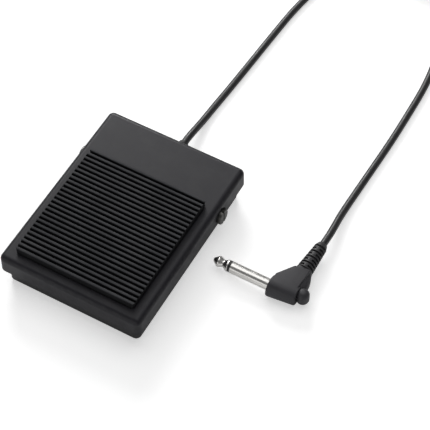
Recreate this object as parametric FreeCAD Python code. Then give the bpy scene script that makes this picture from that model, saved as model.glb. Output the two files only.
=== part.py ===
import FreeCAD, Part

import math
import os

# Foot pedal switch: a treadle that rocks on two side screws over a base tray, with a
# ribbed rubber mat, a return spring, a small microswitch and a cord to a 6.35 mm plug.
# Millimetres. X is across the pedal, +Y points to the rear, where the cord leaves, and +Z
# is up. The origin is on the floor under the middle of the treadle.

# Treadle cover
cover_width = 82.0
cover_length = 108.8
cover_top_z = 22.1
cover_rim_z = 11.3
cover_wall = 2.0
cover_top_thickness = 2.4
cover_corner_radius = 3.2
cover_top_fillet = 3.0
cover_draft = 0.2
underside_rib_height = 3.0
rib_spring_gap = 6.0
underside_rib_thickness = 1.4
rib_wall_gap = 1.5

# Ribbed mat
mat_width = 68.6
mat_length = 70.0
mat_front_margin = 6.4
mat_proud = 4.2
mat_pocket_depth = 0.8
mat_pocket_gap = 0.3
mat_corner_radius = 2.0
mat_rib_count = 25
mat_groove_width = 1.3
mat_groove_depth = 2.0

# Base tray
base_wall_gap = 0.6
base_wall = 2.0
base_floor = 2.5
base_wall_top_z = 14.0
base_corner_radius = 3.0
base_draft = 0.15
floor_rib_height = 1.6
floor_rib_thickness = 1.2

# Rubber feet
foot_radius = 6.0
foot_height = 1.5
foot_recess = 1.0
foot_side_inset = 8.9
foot_end_inset = 9.3
foot_chamfer = 0.5

# Pivots
pivot_rear_inset = 27.1
pivot_z = 13.2
rock_angle = 3.5
screw_head_radius = 4.25
screw_head_height = 3.3
screw_head_round = 0.5
screw_slot_width = 1.2
screw_slot_depth = 1.5
shoulder_radius = 3.0
thread_radius = 2.5
bush_running_gap = 0.05
bush_sleeve_wall = 0.8
bush_flange_radius = 4.2
bush_flange_thickness = 0.8
washer_thickness = 0.4
pivot_face_gap = 0.1
ear_radius = 5.4
notch_radius = 4.9
lug_thickness = 4.0
lug_side_gap = 0.3
insert_wall = 1.0

# Return spring
spring_to_pivot = 51.3
spring_coil_radius = 4.9
spring_wire = 1.2
spring_turns = 6
spring_seat_height = 1.2
spring_seat_radius = 7.2
spigot_radius = 3.6
spigot_height = 3.0
spring_seat_gap = 0.05

# Stops
stop_pad_thickness = 1.5
stop_rib_drop = 5.6
stop_gap = 0.25
stop_end_inset = 7.4
front_stop_x = 24.0
front_stop_post_z = 7.0
rear_stop_x = 18.0
stop_width = 8.0
stop_depth = 5.0
stop_pad_border = 0.5

# Switch and its board
board_x = 17.0
board_to_pivot = 29.3
board_width = 18.0
board_length = 24.0
board_thickness = 1.6
board_post_height = 3.0
board_post_radius = 2.4
board_screw_inset = 2.6
board_screw_radius = 1.1
board_screw_head_radius = 2.0
board_screw_head_height = 1.3
board_screw_length = 4.2
switch_width = 5.8
switch_length = 12.8
switch_height = 6.5
switch_lid_height = 2.0
switch_wall = 0.8
switch_to_pivot = 23.7
terminal_pitch = 5.0
terminal_width = 0.5
terminal_length = 3.0
lever_hinge_inset = 1.0
lever_hinge_radius = 0.5
lever_hinge_gap = 0.08
lever_roll_overlap = 0.02
lever_thickness = 0.3
lever_width = 3.4
lever_reach = 14.0
lever_slope = 9.0
plunger_arm = 3.6
plunger_radius = 0.9
plunger_guide_gap = 0.06
plunger_depth = 3.2
plunger_lever_gap = 0.06
pusher_reach = 13.1
pusher_gap = 0.3
pusher_radius = 1.2
pusher_width = 5.0

# Cord, its bushing and its clamp
cord_diameter = 4.0
cord_x = -1.8
cord_exit_z = 6.5
cord_lie_gap = 0.05
bushing_reach = 9.0
bushing_neck_radius = 3.4
bushing_flange_radius = 4.2
bushing_flange_thickness = 1.5
bushing_root_radius = 3.5
bushing_tip_radius = 2.7
bushing_ring_count = 4
bushing_ring_groove = 0.7
tail_inside = 15.8
clamp_rear_inset = 10.8
clamp_width = 21.0
clamp_depth = 6.0
clamp_thickness = 3.2
clamp_drop = 0.2
clamp_screw_spread = 7.5
clamp_post_radius = 2.6
clamp_screw_radius = 1.25
clamp_screw_head_radius = 2.3
clamp_screw_head_height = 1.5
clamp_screw_length = 5.0
wire_diameter = 1.2
wire_spread = 0.8
wire_lead = 6.0
wire_arch = 1.0
wire_pad_pitch = 4.5

# Plug
plug_tip_x = 48.7
plug_y = 6.5
plug_axis_z = 6.2
plug_radius = 3.175
plug_length = 32.4
plug_tip_length = 9.0
plug_ring_length = 1.3
plug_rod_radius = 1.2
plug_liner_wall = 0.9
barrel_length = 15.5
barrel_radius = 5.95
barrel_end_radius = 5.2
barrel_lean = 0.9
barrel_face_round = 0.9
barrel_end_round = 0.5
boss_radius = 3.45
boss_height = 9.2
boss_round = 3.0
boss_reach = 2.3
boss_set_back = 1.9
neck_x = 92.35
neck_end_y = 22.4
cord_end_x = 93.3
pad_left_x = 82.0
pad_left_y = 11.0
pad_neck_left_x = 88.2
pad_neck_left_y = 20.0
pad_neck_right_x = 96.4
pad_neck_right_y = 21.2
pad_right_x = 95.5
pad_edge_round = 0.5
relief_length = 19.2
relief_root_radius = 4.55
relief_tip_radius = 3.4
relief_shoulder = 2.6
relief_end_radius = 2.4
relief_slot_rows = 8
relief_slot_width = 1.05
relief_slot_depth = 1.1
relief_slot_start = 0.8
relief_bridge_width = 2.2
relief_end_ring = 3.0

# Outline of the plug's tip: distance from the point and radius
tip_profile = [
    (0, 0), (0.15, 0.8), (2.9, 2.9), (3.4, 3.0), (3.9, 2.85), (5.6, 1.95), (6.3, 2.0), (7.9, 2.95),
]
tip_shoulder = 8.3

# Where the cord lies, chosen by hand: x, y and the height of its middle above the floor
pedal_run = [
    (-1.8, 63.4, 6.5), (-1.8, 68.6, 6.5), (-1.6, 76.5, 5.3), (-1.9, 86.0, 2.9), (-1.7, 97.0, 2.05),
    (-0.8, 110.0, 2.05), (0.3, 130.0, 2.05), (1.5, 155.0, 2.05), (3.2, 185.0, 2.05),
    (8.0, 210.0, 2.05), (15.0, 230.0, 2.05), (20.75, 246.0, 2.05), (20.75, 258.0, 2.05),
]
plug_run = [
    (75.25, 258.0, 15.55), (75.25, 248.0, 15.55), (76.4, 238.0, 13.4), (79.4, 226.0, 9.2),
    (84.5, 211.0, 4.6), (90.0, 190.0, 2.2), (93.2, 168.0, 2.05), (93.6, 142.0, 2.05),
    (93.6, 121.0, 2.05), (92.9, 100.0, 2.05), (92.3, 80.0, 2.2), (92.2, 65.0, 3.4),
    (93.2, 54.0, 5.4), (93.5, 47.2, 6.2), (93.3, 41.6, 6.2),
]

# Sections of the plug's body under its pad: y, left side, right side and height
neck_sections = [
    (7.5, 82.6, 96.9, 8.6), (13.3, 84.4, 99.0, 8.2), (18.7, 87.7, 98.1, 7.8),
    (21.2, 88.1, 97.1, 7.6), (23.0, 88.1, 96.6, 7.6),
]

# Put-away coil between the two runs
coil_x = 48.0
coil_y = 262.0
coil_outer_radius = 27.25
coil_pitch = 4.5
coil_layer_turns = (2.5, 2.25, 2.25, 2.5)
coil_climb_turns = 0.5

V = FreeCAD.Vector
X_AXIS = V(1, 0, 0)
Y_AXIS = V(0, 1, 0)
Z_AXIS = V(0, 0, 1)

# Heights and places that follow from the sizes above
cover_under_z = cover_top_z - cover_top_thickness
floor_top_z = foot_height + base_floor
base_width = cover_width - 2 * (cover_wall + base_wall_gap)
base_length = cover_length - 2 * (cover_wall + base_wall_gap)
ear_outer_x = base_width / 2
ear_inner_x = ear_outer_x - base_wall
pivot_y = cover_length / 2 - pivot_rear_inset
spring_y = pivot_y - spring_to_pivot
board_y = pivot_y - board_to_pivot
switch_rear_y = pivot_y - switch_to_pivot
foot_x = base_width / 2 - foot_side_inset
foot_y = base_length / 2 - foot_end_inset
front_stop_y = -base_length / 2 + stop_end_inset
rear_stop_y = base_length / 2 - stop_end_inset
clamp_y = base_length / 2 - clamp_rear_inset
tail_end_y = base_length / 2 - base_wall - tail_inside
flange_face_x = ear_outer_x + bush_flange_thickness
washer_inner_x = flange_face_x + pivot_face_gap
head_seat_x = washer_inner_x + washer_thickness
head_face_x = head_seat_x + screw_head_height
lug_face_x = ear_inner_x - lug_side_gap
mat_y = -cover_length / 2 + mat_front_margin + mat_length / 2
mat_bottom_z = cover_top_z - mat_pocket_depth
mat_top_z = cover_top_z + mat_proud
board_bottom_z = floor_top_z + board_post_height
board_top_z = board_bottom_z + board_thickness
switch_top_z = board_top_z + switch_height
lever_hinge_y = switch_rear_y - lever_hinge_inset
pusher_y = lever_hinge_y - pusher_reach
lever_hinge_z = switch_top_z + lever_hinge_gap
base_rear_y = base_length / 2
bushing_end_y = cover_length / 2 + bushing_reach
cord_radius = cord_diameter / 2
base_inside_y = base_rear_y - base_wall - base_draft
rear_stop_post_z = cover_under_z - stop_rib_drop - stop_gap - stop_pad_thickness


def rise_of(y):
    """How far a point of the treadle at this y goes down when it is fully pressed."""
    return (pivot_y - y) * math.sin(math.radians(rock_angle))


def box(x0, x1, y0, y1, z0, z1):
    """Block between the given faces."""
    return Part.makeBox(x1 - x0, y1 - y0, z1 - z0, V(x0, y0, z0))


def centred_box(x, y, width, depth, z0, z1):
    """Block centred on x and y."""
    return box(x - width / 2, x + width / 2, y - depth / 2, y + depth / 2, z0, z1)


def rod(radius, start, end):
    """Round bar from one point to another."""
    along = end - start
    return Part.makeCylinder(radius, along.Length, start, along)


def rod_z(radius, x, y, z0, z1):
    """Upright round bar."""
    return rod(radius, V(x, y, z0), V(x, y, z1))


def ring(outer, inner, start, end):
    """Round tube from one point to another."""
    return rod(outer, start, end).cut(rod(inner, start, end))


def rounded_outline(width, length, radius, z, x=0.0, y=0.0):
    """Closed wire of a rectangle with round corners, flat at height z."""
    half_w, half_l = width / 2, length / 2
    diagonal = radius * (1 - math.sqrt(0.5))
    edges = []
    corners = [(1, 1), (-1, 1), (-1, -1), (1, -1)]
    for index, (sx, sy) in enumerate(corners):
        on_side = V(x + sx * half_w, y + sy * (half_l - radius), z)
        on_end = V(x + sx * (half_w - radius), y + sy * half_l, z)
        middle = V(x + sx * (half_w - diagonal), y + sy * (half_l - diagonal), z)
        start, end = (on_side, on_end) if sx * sy > 0 else (on_end, on_side)
        edges.append(Part.Arc(start, middle, end).toShape())
        nx, ny = corners[(index + 1) % 4]
        if nx * ny > 0:
            following = V(x + nx * half_w, y + ny * (half_l - radius), z)
        else:
            following = V(x + nx * (half_w - radius), y + ny * half_l, z)
        edges.append(Part.LineSegment(end, following).toShape())
    return Part.Wire(edges)


def tapered_block(lower, upper):
    """Solid between two rounded outlines."""
    return Part.makeLoft([lower, upper], True, True)


def turned(profile, origin, along, across):
    """Solid of revolution: profile points are (distance along the axis, radius)."""
    points = [origin + along * s + across * r for s, r in profile]
    points.append(points[0])
    face = Part.Face(Part.makePolygon(points))
    return face.revolve(origin, along, 360)


def fuse_all(shapes):
    """One solid from several that touch."""
    result = shapes[0]
    for shape in shapes[1:]:
        result = result.fuse(shape)
    return result.removeSplitter()


def cut_all(shape, tools):
    """Shape with every tool taken away."""
    for tool in tools:
        shape = shape.cut(tool)
    return shape


def edges_at_height(shape, z):
    """Edges that lie flat at height z."""
    found = []
    for edge in shape.Edges:
        bounds = edge.BoundBox
        if abs(bounds.ZMin - z) < 1e-4 and abs(bounds.ZMax - z) < 1e-4:
            found.append(edge)
    return found


def mirrored(shape):
    """The same piece on the other side of the pedal."""
    return shape.mirror(V(0, 0, 0), X_AXIS)


# Cords, wires and springs
def route_wire(points, name):
    """Straight runs joined by tangent arcs, each as large as its two runs allow."""
    nodes = [V(*point) for point in points]
    edges = []
    radii = []
    last = nodes[0]
    for before, corner, after in zip(nodes, nodes[1:], nodes[2:]):
        back = (before - corner).normalize()
        ahead = (after - corner).normalize()
        turn = math.pi - back.getAngle(ahead)
        reach = 0.45 * min(before.distanceToPoint(corner), after.distanceToPoint(corner))
        radius = reach / math.tan(turn / 2)
        inward = (back + ahead).normalize()
        middle = corner + inward * (radius / math.cos(turn / 2) - radius)
        start, end = corner + back * reach, corner + ahead * reach
        edges.append(Part.LineSegment(last, start).toShape())
        edges.append(Part.Arc(start, middle, end).toShape())
        radii.append(radius)
        last = end
    edges.append(Part.LineSegment(last, nodes[-1]).toShape())
    print(name, "radii", [round(r) for r in radii])
    return Part.Wire(edges)


def swept(wire, radius):
    """Round tube along a wire."""
    start = wire.Edges[0]
    origin = start.valueAt(start.FirstParameter)
    along = start.tangentAt(start.FirstParameter)
    profile = Part.Wire(Part.makeCircle(radius, origin, along))
    return wire.makePipeShell([profile], True, False)


def routed_tube(points, diameter, name):
    """Tube along a route, with its volume compared to section times length."""
    wire = route_wire(points, name)
    tube = swept(wire, diameter / 2)
    expected = math.pi * diameter ** 2 / 4 * wire.Length
    print(name, "length", round(wire.Length, 1), "volume ratio", round(tube.Volume / expected, 4))
    return tube


def arc_leaving(start, heading, end):
    """Arc, or line, from start in the given heading to end."""
    chord = end - start
    length = chord.Length
    chord = chord / length
    half_turn = heading.getAngle(chord)
    if half_turn < 1e-4:
        return Part.LineSegment(start, end).toShape()
    side = (heading - chord * heading.dot(chord)).normalize()
    middle = (start + end) / 2 + side * (length / 2 * math.tan(half_turn / 2))
    return Part.Arc(start, middle, end).toShape()


def biarc(start, heading, end, end_heading):
    """Two tangent arcs between two points with given headings."""
    across = end - start
    spread = 1 - heading.dot(end_heading)
    reach = across.dot(heading + end_heading)
    if spread < 1e-9:
        handle = across.dot(across) / (2 * reach)
    else:
        handle = (math.sqrt(reach ** 2 + 2 * spread * across.dot(across)) - reach) / (2 * spread)
    joint = (start + heading * handle + end - end_heading * handle) / 2
    joint_heading = (end - end_heading * handle - start - heading * handle).normalize()
    return [arc_leaving(start, heading, joint), arc_leaving(joint, joint_heading, end)]


def wound_wire(place, turns, per_turn, ends, lead):
    """Wire through place(turn) at so many points per turn, with level ends and straight leads."""
    step = 1e-4
    count = round(turns * per_turn)
    points, headings = [], []
    for index in range(count + 1):
        turn = index / per_turn
        points.append(place(turn))
        headings.append((place(turn + step) - place(turn - step)).normalize())
    headings[0], headings[-1] = ends
    edges = []
    if lead > 0:
        edges.append(Part.LineSegment(points[0] - headings[0] * lead, points[0]).toShape())
    for index in range(count):
        edges += biarc(points[index], headings[index], points[index + 1], headings[index + 1])
    if lead > 0:
        edges.append(Part.LineSegment(points[-1], points[-1] + headings[-1] * lead).toShape())
    return Part.Wire(edges)


def least_gap(wire, diameter, spacing, skip):
    """Smallest distance between the surfaces of turns that are not next to each other."""
    points = wire.discretize(Distance=spacing)
    away = int(skip / spacing)
    least = 1e9
    for index, point in enumerate(points):
        for other in points[index + away:]:
            least = min(least, point.distanceToPoint(other))
    return least - diameter


# Treadle
def treadle_cover():
    """Moulded cover, open underneath, with pivot lugs, spring seat, stops and pusher."""
    lower = rounded_outline(cover_width + 2 * cover_draft, cover_length + 2 * cover_draft,
                            cover_corner_radius + cover_draft, cover_rim_z)
    upper = rounded_outline(cover_width, cover_length, cover_corner_radius, cover_top_z)
    shell = tapered_block(lower, upper)
    shell = shell.makeFillet(cover_top_fillet, edges_at_height(shell, cover_top_z))
    inner_width = cover_width - 2 * cover_wall
    inner_length = cover_length - 2 * cover_wall
    inner_corner = cover_corner_radius - cover_wall
    hollow = tapered_block(
        rounded_outline(inner_width + 2 * cover_draft, inner_length + 2 * cover_draft,
                        inner_corner + cover_draft, cover_rim_z),
        rounded_outline(inner_width, inner_length, inner_corner, cover_under_z))
    shell = shell.cut(hollow)

    pocket = tapered_block(
        rounded_outline(mat_width + 2 * mat_pocket_gap, mat_length + 2 * mat_pocket_gap,
                        mat_corner_radius + mat_pocket_gap, mat_bottom_z, 0, mat_y),
        rounded_outline(mat_width + 2 * mat_pocket_gap, mat_length + 2 * mat_pocket_gap,
                        mat_corner_radius + mat_pocket_gap, cover_top_z, 0, mat_y))
    shell = shell.cut(pocket)

    details = []
    lug_low = pivot_z - ear_radius
    for side in (-1, 1):
        inner, outer = sorted((side * (lug_face_x - lug_thickness), side * lug_face_x))
        details.append(box(inner, outer, pivot_y - ear_radius, pivot_y + ear_radius,
                           pivot_z, cover_under_z))
        details.append(rod(ear_radius, V(inner, pivot_y, pivot_z), V(outer, pivot_y, pivot_z)))
        details += lug_gussets(side, lug_low)
        details.append(centred_box(side * front_stop_x, front_stop_y, stop_width - 2, stop_depth - 1,
                                   front_stop_rib_z(), cover_under_z))
        details.append(centred_box(side * rear_stop_x, rear_stop_y, stop_width - 2, stop_depth - 1,
                                   rear_stop_post_z + stop_pad_thickness + stop_gap, cover_under_z))
    details.append(rod_z(spring_seat_radius, 0, spring_y, cover_under_z - spring_seat_height, cover_under_z))
    details.append(rod_z(spigot_radius, 0, spring_y,
                         cover_under_z - spring_seat_height - spigot_height, cover_under_z))
    details += underside_ribs()
    details.append(lever_pusher())
    shell = fuse_all([shell] + details)

    cuts = []
    for side in (-1, 1):
        notch_in, notch_out = sorted((side * lug_notch_x(), side * (cover_width / 2 + 1)))
        cuts.append(rod(notch_radius, V(notch_in, pivot_y, pivot_z), V(notch_out, pivot_y, pivot_z)))
        cuts.append(box(notch_in, notch_out, pivot_y - notch_radius, pivot_y + notch_radius,
                        cover_rim_z - 1, pivot_z))
        bore_in, bore_out = sorted((side * (lug_face_x - lug_thickness), side * lug_face_x))
        cuts.append(rod(thread_radius + insert_wall, V(bore_in, pivot_y, pivot_z),
                        V(bore_out, pivot_y, pivot_z)))
    return cut_all(shell, cuts)


def lug_notch_x():
    """Inner end of the notch that clears the screw head, inside the treadle's side wall."""
    return cover_width / 2 - cover_wall - base_wall_gap / 2


def front_stop_rib_z():
    """Underside of the treadle's front stops, clear of the pads at full press."""
    return front_stop_post_z + stop_pad_thickness + stop_gap + rise_of(front_stop_y - stop_depth / 2)


def lug_gussets(side, lug_low):
    """Two triangular webs that stiffen a pivot lug from inside."""
    webs = []
    foot_x_inner = side * (lug_face_x - lug_thickness)
    for y in (pivot_y - ear_radius + underside_rib_thickness / 2,
              pivot_y + ear_radius - underside_rib_thickness / 2):
        corners = [V(foot_x_inner, y, cover_under_z),
                   V(foot_x_inner - side * ear_radius, y, cover_under_z),
                   V(foot_x_inner, y, pivot_z)]
        web = Part.Face(Part.makePolygon(corners + corners[:1]))
        web = web.extrude(V(0, underside_rib_thickness, 0))
        web.translate(V(0, -underside_rib_thickness / 2, 0))
        webs.append(web)
    return webs


def underside_ribs():
    """Stiffening ribs under the treadle, clear of the switch board and the spring."""
    low = cover_under_z - underside_rib_height
    half = underside_rib_thickness / 2
    reach_x = base_width / 2 - base_wall - rib_wall_gap
    reach_y = base_length / 2 - base_wall - rib_wall_gap
    side_x = lug_face_x - lug_thickness - ear_radius / 2
    ribs = []
    for side in (-1, 1):
        ribs.append(box(side * side_x - half, side * side_x + half, -reach_y, reach_y, low, cover_under_z))
    for y in (spring_y - spring_seat_radius - rib_spring_gap, pivot_y - 2 * ear_radius):
        ribs.append(box(-reach_x, reach_x, y - half, y + half, low, cover_under_z))
    return ribs


def lever_top_z(y, slope):
    """Height of the lever's upper face at y, for a lever raised by slope degrees."""
    angle = math.radians(slope)
    arm = lever_hinge_y - y
    return lever_hinge_z + (lever_hinge_radius + lever_thickness) / math.cos(angle) + arm * math.tan(angle)


def lever_pusher():
    """Rounded rib that presses the switch lever."""
    nose_z = lever_top_z(pusher_y, lever_slope) + pusher_gap + pusher_radius
    x0, x1 = board_x - pusher_width / 2, board_x + pusher_width / 2
    nose = rod(pusher_radius, V(x0, pusher_y, nose_z), V(x1, pusher_y, nose_z))
    stem = box(x0, x1, pusher_y - pusher_radius, pusher_y + pusher_radius, nose_z, cover_under_z + 0.5)
    return nose.fuse(stem).common(box(x0, x1, pusher_y - 2 * pusher_radius, pusher_y + 2 * pusher_radius,
                                      nose_z - pusher_radius, cover_under_z + 0.5))


def tread_mat():
    """Thick rubber mat with straight ribs across it."""
    mat = tapered_block(
        rounded_outline(mat_width, mat_length, mat_corner_radius, mat_bottom_z, 0, mat_y),
        rounded_outline(mat_width, mat_length, mat_corner_radius, mat_top_z, 0, mat_y))
    rib_width = (mat_length - (mat_rib_count - 1) * mat_groove_width) / mat_rib_count
    grooves = []
    for index in range(1, mat_rib_count):
        y0 = mat_y - mat_length / 2 + index * rib_width + (index - 1) * mat_groove_width
        grooves.append(box(-mat_width / 2 - 1, mat_width / 2 + 1, y0, y0 + mat_groove_width,
                           mat_top_z - mat_groove_depth, mat_top_z + 1))
    return mat.cut(Part.makeCompound(grooves))


# Pivots, modelled on the right side and mirrored
def pivot_screw():
    """Slotted shoulder screw: head outside the wall, shoulder in the bush, thread in the lug."""
    lug_end_x = lug_face_x - lug_thickness
    profile = [
        (0, 0), (0, screw_head_radius - screw_head_round),
        (screw_head_round, screw_head_radius),
        (screw_head_height, screw_head_radius), (screw_head_height, shoulder_radius),
        (head_face_x - lug_face_x, shoulder_radius), (head_face_x - lug_face_x, thread_radius),
        (head_face_x - lug_end_x, thread_radius), (head_face_x - lug_end_x, 0),
    ]
    screw = turned(profile, V(head_face_x, pivot_y, pivot_z), -X_AXIS, Y_AXIS)
    slot = box(head_face_x - screw_slot_depth, head_face_x + 1,
               pivot_y - screw_slot_width / 2, pivot_y + screw_slot_width / 2,
               pivot_z - 2 * screw_head_radius, pivot_z + 2 * screw_head_radius)
    return screw.cut(slot)


def pivot_washer():
    """Thin washer under the screw's head."""
    return ring(bush_flange_radius, shoulder_radius,
                V(washer_inner_x, pivot_y, pivot_z), V(head_seat_x, pivot_y, pivot_z))


def pivot_bush():
    """Flanged bush pressed into the tray's ear from outside."""
    bore = shoulder_radius + bush_running_gap
    sleeve = rod(bore + bush_sleeve_wall, V(ear_inner_x, pivot_y, pivot_z), V(ear_outer_x, pivot_y, pivot_z))
    flange = rod(bush_flange_radius, V(ear_outer_x, pivot_y, pivot_z), V(flange_face_x, pivot_y, pivot_z))
    hole = rod(bore, V(ear_inner_x - 1, pivot_y, pivot_z), V(flange_face_x + 1, pivot_y, pivot_z))
    return sleeve.fuse(flange).removeSplitter().cut(hole)


def pivot_insert():
    """Brass insert in the treadle's lug that takes the screw's thread."""
    return ring(thread_radius + insert_wall, thread_radius,
                V(lug_face_x - lug_thickness, pivot_y, pivot_z), V(lug_face_x, pivot_y, pivot_z))


# Base tray and what stands in it
def base_tray():
    """Open moulded tray with pivot ears, posts, spring seat, cord saddle and feet recesses."""
    outer = tapered_block(
        rounded_outline(base_width - 2 * base_draft, base_length - 2 * base_draft,
                        base_corner_radius - base_draft, foot_height),
        rounded_outline(base_width, base_length, base_corner_radius, base_wall_top_z))
    inner = tapered_block(
        rounded_outline(base_width - 2 * base_wall - 2 * base_draft,
                        base_length - 2 * base_wall - 2 * base_draft,
                        base_corner_radius - base_wall, floor_top_z),
        rounded_outline(base_width - 2 * base_wall, base_length - 2 * base_wall,
                        base_corner_radius - base_wall, base_wall_top_z))
    details = [outer.cut(inner)]
    for side in (-1, 1):
        x0, x1 = sorted((side * ear_inner_x, side * ear_outer_x))
        details.append(box(x0, x1, pivot_y - ear_radius, pivot_y + ear_radius, floor_top_z, pivot_z))
        details.append(rod(ear_radius, V(x0, pivot_y, pivot_z), V(x1, pivot_y, pivot_z)))
        details.append(centred_box(side * front_stop_x, front_stop_y, stop_width, stop_depth,
                                   floor_top_z, front_stop_post_z))
        details.append(centred_box(side * rear_stop_x, rear_stop_y, stop_width, stop_depth,
                                   floor_top_z, rear_stop_post_z))
        details.append(rod_z(clamp_post_radius, cord_x + side * clamp_screw_spread, clamp_y,
                             floor_top_z, clamp_under_z()))
        details.append(rod_z(board_post_radius, *board_screw_place(side), floor_top_z, board_bottom_z))
    details.append(centred_box(cord_x, clamp_y, cord_diameter + 2 * floor_rib_thickness, clamp_depth,
                               floor_top_z, cord_exit_z))
    details.append(rod_z(spring_seat_radius, 0, spring_y, floor_top_z, floor_top_z + spring_seat_height))
    details.append(rod_z(spigot_radius, 0, spring_y, floor_top_z,
                         floor_top_z + spring_seat_height + spigot_height))
    details += floor_ribs()
    tray = fuse_all(details)

    cuts = []
    bush_radius = shoulder_radius + bush_running_gap + bush_sleeve_wall
    cuts.append(rod(bush_radius, V(-base_width, pivot_y, pivot_z), V(base_width, pivot_y, pivot_z)))
    cuts.append(rod(bushing_neck_radius, V(cord_x, base_inside_y, cord_exit_z),
                    V(cord_x, base_rear_y + 1, cord_exit_z)))
    cuts.append(rod(cord_radius, V(cord_x, clamp_y - clamp_depth, cord_exit_z),
                    V(cord_x, clamp_y + clamp_depth, cord_exit_z)))
    for side in (-1, 1):
        for end in (-1, 1):
            recess_top = foot_height + foot_recess
            cuts.append(rod_z(foot_radius, side * foot_x, end * foot_y, foot_height, recess_top))
        x, y = cord_x + side * clamp_screw_spread, clamp_y
        cuts.append(rod_z(clamp_screw_radius, x, y, clamp_screw_end_z(), clamp_under_z()))
        cuts.append(rod_z(board_screw_radius, *board_screw_place(side),
                          board_top_z - board_screw_length, board_bottom_z))
    return cut_all(tray, cuts)


def floor_ribs():
    """Low ribs that stiffen the tray's floor."""
    half = floor_rib_thickness / 2
    high = floor_top_z + floor_rib_height
    reach_x = base_width / 2 - base_wall
    reach_y = base_length / 2 - base_wall
    ribs = [box(-reach_x, reach_x, y - half, y + half, floor_top_z - half, high)
            for y in (front_stop_y + stop_depth + 3, pivot_y - 2 * ear_radius)]
    for side in (-1, 1):
        ribs.append(box(side * foot_x - half, side * foot_x + half, -reach_y, reach_y,
                        floor_top_z - half, high))
    return ribs


def rubber_feet():
    """Four round feet in recesses under the tray."""
    feet = []
    profile = [(0, 0), (0, foot_radius - foot_chamfer), (foot_chamfer, foot_radius),
               (foot_height + foot_recess, foot_radius), (foot_height + foot_recess, 0)]
    for side in (-1, 1):
        for end in (-1, 1):
            feet.append(turned(profile, V(side * foot_x, end * foot_y, 0), Z_AXIS, X_AXIS))
    return Part.makeCompound(feet)


def stop_pads(x, y, post_z):
    """Pair of rubber pads on the tray's stop posts."""
    pads = []
    for side in (-1, 1):
        pads.append(centred_box(side * x, y, stop_width - 2 * stop_pad_border,
                                stop_depth - 2 * stop_pad_border, post_z, post_z + stop_pad_thickness))
    return Part.makeCompound(pads)


def return_spring():
    """Compression spring between the tray's seat and the treadle's, with close end turns."""
    wire_radius = spring_wire / 2
    low = floor_top_z + spring_seat_height + spring_seat_gap + wire_radius
    high = cover_under_z - spring_seat_height - spring_seat_gap - wire_radius
    close_rise = spring_wire + spring_seat_gap
    open_turns = spring_turns - 2

    def place(turn):
        angle = 2 * math.pi * turn
        if turn < 1:
            z = low + close_rise * max(turn, 0)
        elif turn > spring_turns - 1:
            z = high - close_rise * max(spring_turns - turn, 0)
        else:
            z = low + close_rise + (high - low - 2 * close_rise) * (turn - 1) / open_turns
        return V(spring_coil_radius * math.cos(angle), spring_y + spring_coil_radius * math.sin(angle), z)

    wire = wound_wire(place, spring_turns, 2, (Y_AXIS, Y_AXIS), 0)
    return swept(wire, wire_radius)


# Switch
def board_screw_place(side):
    """Screw places at two opposite corners of the board."""
    x = board_x + side * (board_width / 2 - board_screw_inset)
    y = board_y + side * (board_length / 2 - board_screw_inset)
    return x, y


def terminal_places():
    """Middles of the switch's three terminals."""
    middle_y = switch_rear_y - switch_length / 2
    return [(board_x, middle_y + offset * terminal_pitch) for offset in (-1, 0, 1)]


def circuit_board():
    """Small board that carries the switch and takes the cord's wires."""
    board = centred_box(board_x, board_y, board_width, board_length, board_bottom_z, board_top_z)
    holes = [rod_z(board_screw_radius, *board_screw_place(side), board_bottom_z, board_top_z)
             for side in (-1, 1)]
    holes += [rod_z(terminal_width, x, y, board_bottom_z, board_top_z) for x, y in terminal_places()]
    return cut_all(board, holes)


def pan_screw(x, y, seat_z, shank_radius, length, head_radius, head_height):
    """Pan-head screw standing on a seat, with a cross recess."""
    profile = [(-length, 0), (-length, shank_radius), (0, shank_radius), (0, head_radius),
               (head_height * 0.55, head_radius), (head_height, head_radius * 0.7), (head_height, 0)]
    screw = turned(profile, V(x, y, seat_z), Z_AXIS, X_AXIS)
    recess_low, head_top = seat_z + head_height * 0.4, seat_z + head_height
    recess = [centred_box(x, y, head_radius, head_radius * 0.25, recess_low, head_top),
              centred_box(x, y, head_radius * 0.25, head_radius, recess_low, head_top)]
    return cut_all(screw, recess)


def board_screws():
    """Two screws that hold the board to its posts."""
    return Part.makeCompound([
        pan_screw(*board_screw_place(side), board_top_z, board_screw_radius, board_screw_length,
                  board_screw_head_radius, board_screw_head_height)
        for side in (-1, 1)])


def switch_case():
    """Lower half of the microswitch, open on top."""
    y0, y1 = switch_rear_y - switch_length, switch_rear_y
    split_z = switch_top_z - switch_lid_height
    half = switch_width / 2
    case = box(board_x - half, board_x + half, y0, y1, board_top_z, split_z)
    hollow = box(board_x - half + switch_wall, board_x + half - switch_wall, y0 + switch_wall,
                 y1 - switch_wall, board_top_z + switch_wall, split_z)
    return case.cut(hollow)


def switch_lid():
    """Upper half of the microswitch, with the plunger's guide and the lever's seat."""
    y0, y1 = switch_rear_y - switch_length, switch_rear_y
    split_z = switch_top_z - switch_lid_height
    half = switch_width / 2
    lid = box(board_x - half, board_x + half, y0, y1, split_z, switch_top_z)
    guide_y = lever_hinge_y - plunger_arm
    cuts = [
        box(board_x - half + switch_wall, board_x + half - switch_wall, y0 + switch_wall,
            lever_hinge_y - 2 * lever_hinge_radius, split_z, switch_top_z - switch_wall),
        rod_z(plunger_radius + plunger_guide_gap, board_x, guide_y, split_z, switch_top_z),
        rod(lever_hinge_radius + lever_hinge_gap, V(board_x - half, lever_hinge_y, lever_hinge_z),
            V(board_x + half, lever_hinge_y, lever_hinge_z)),
    ]
    return cut_all(lid, cuts)


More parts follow.
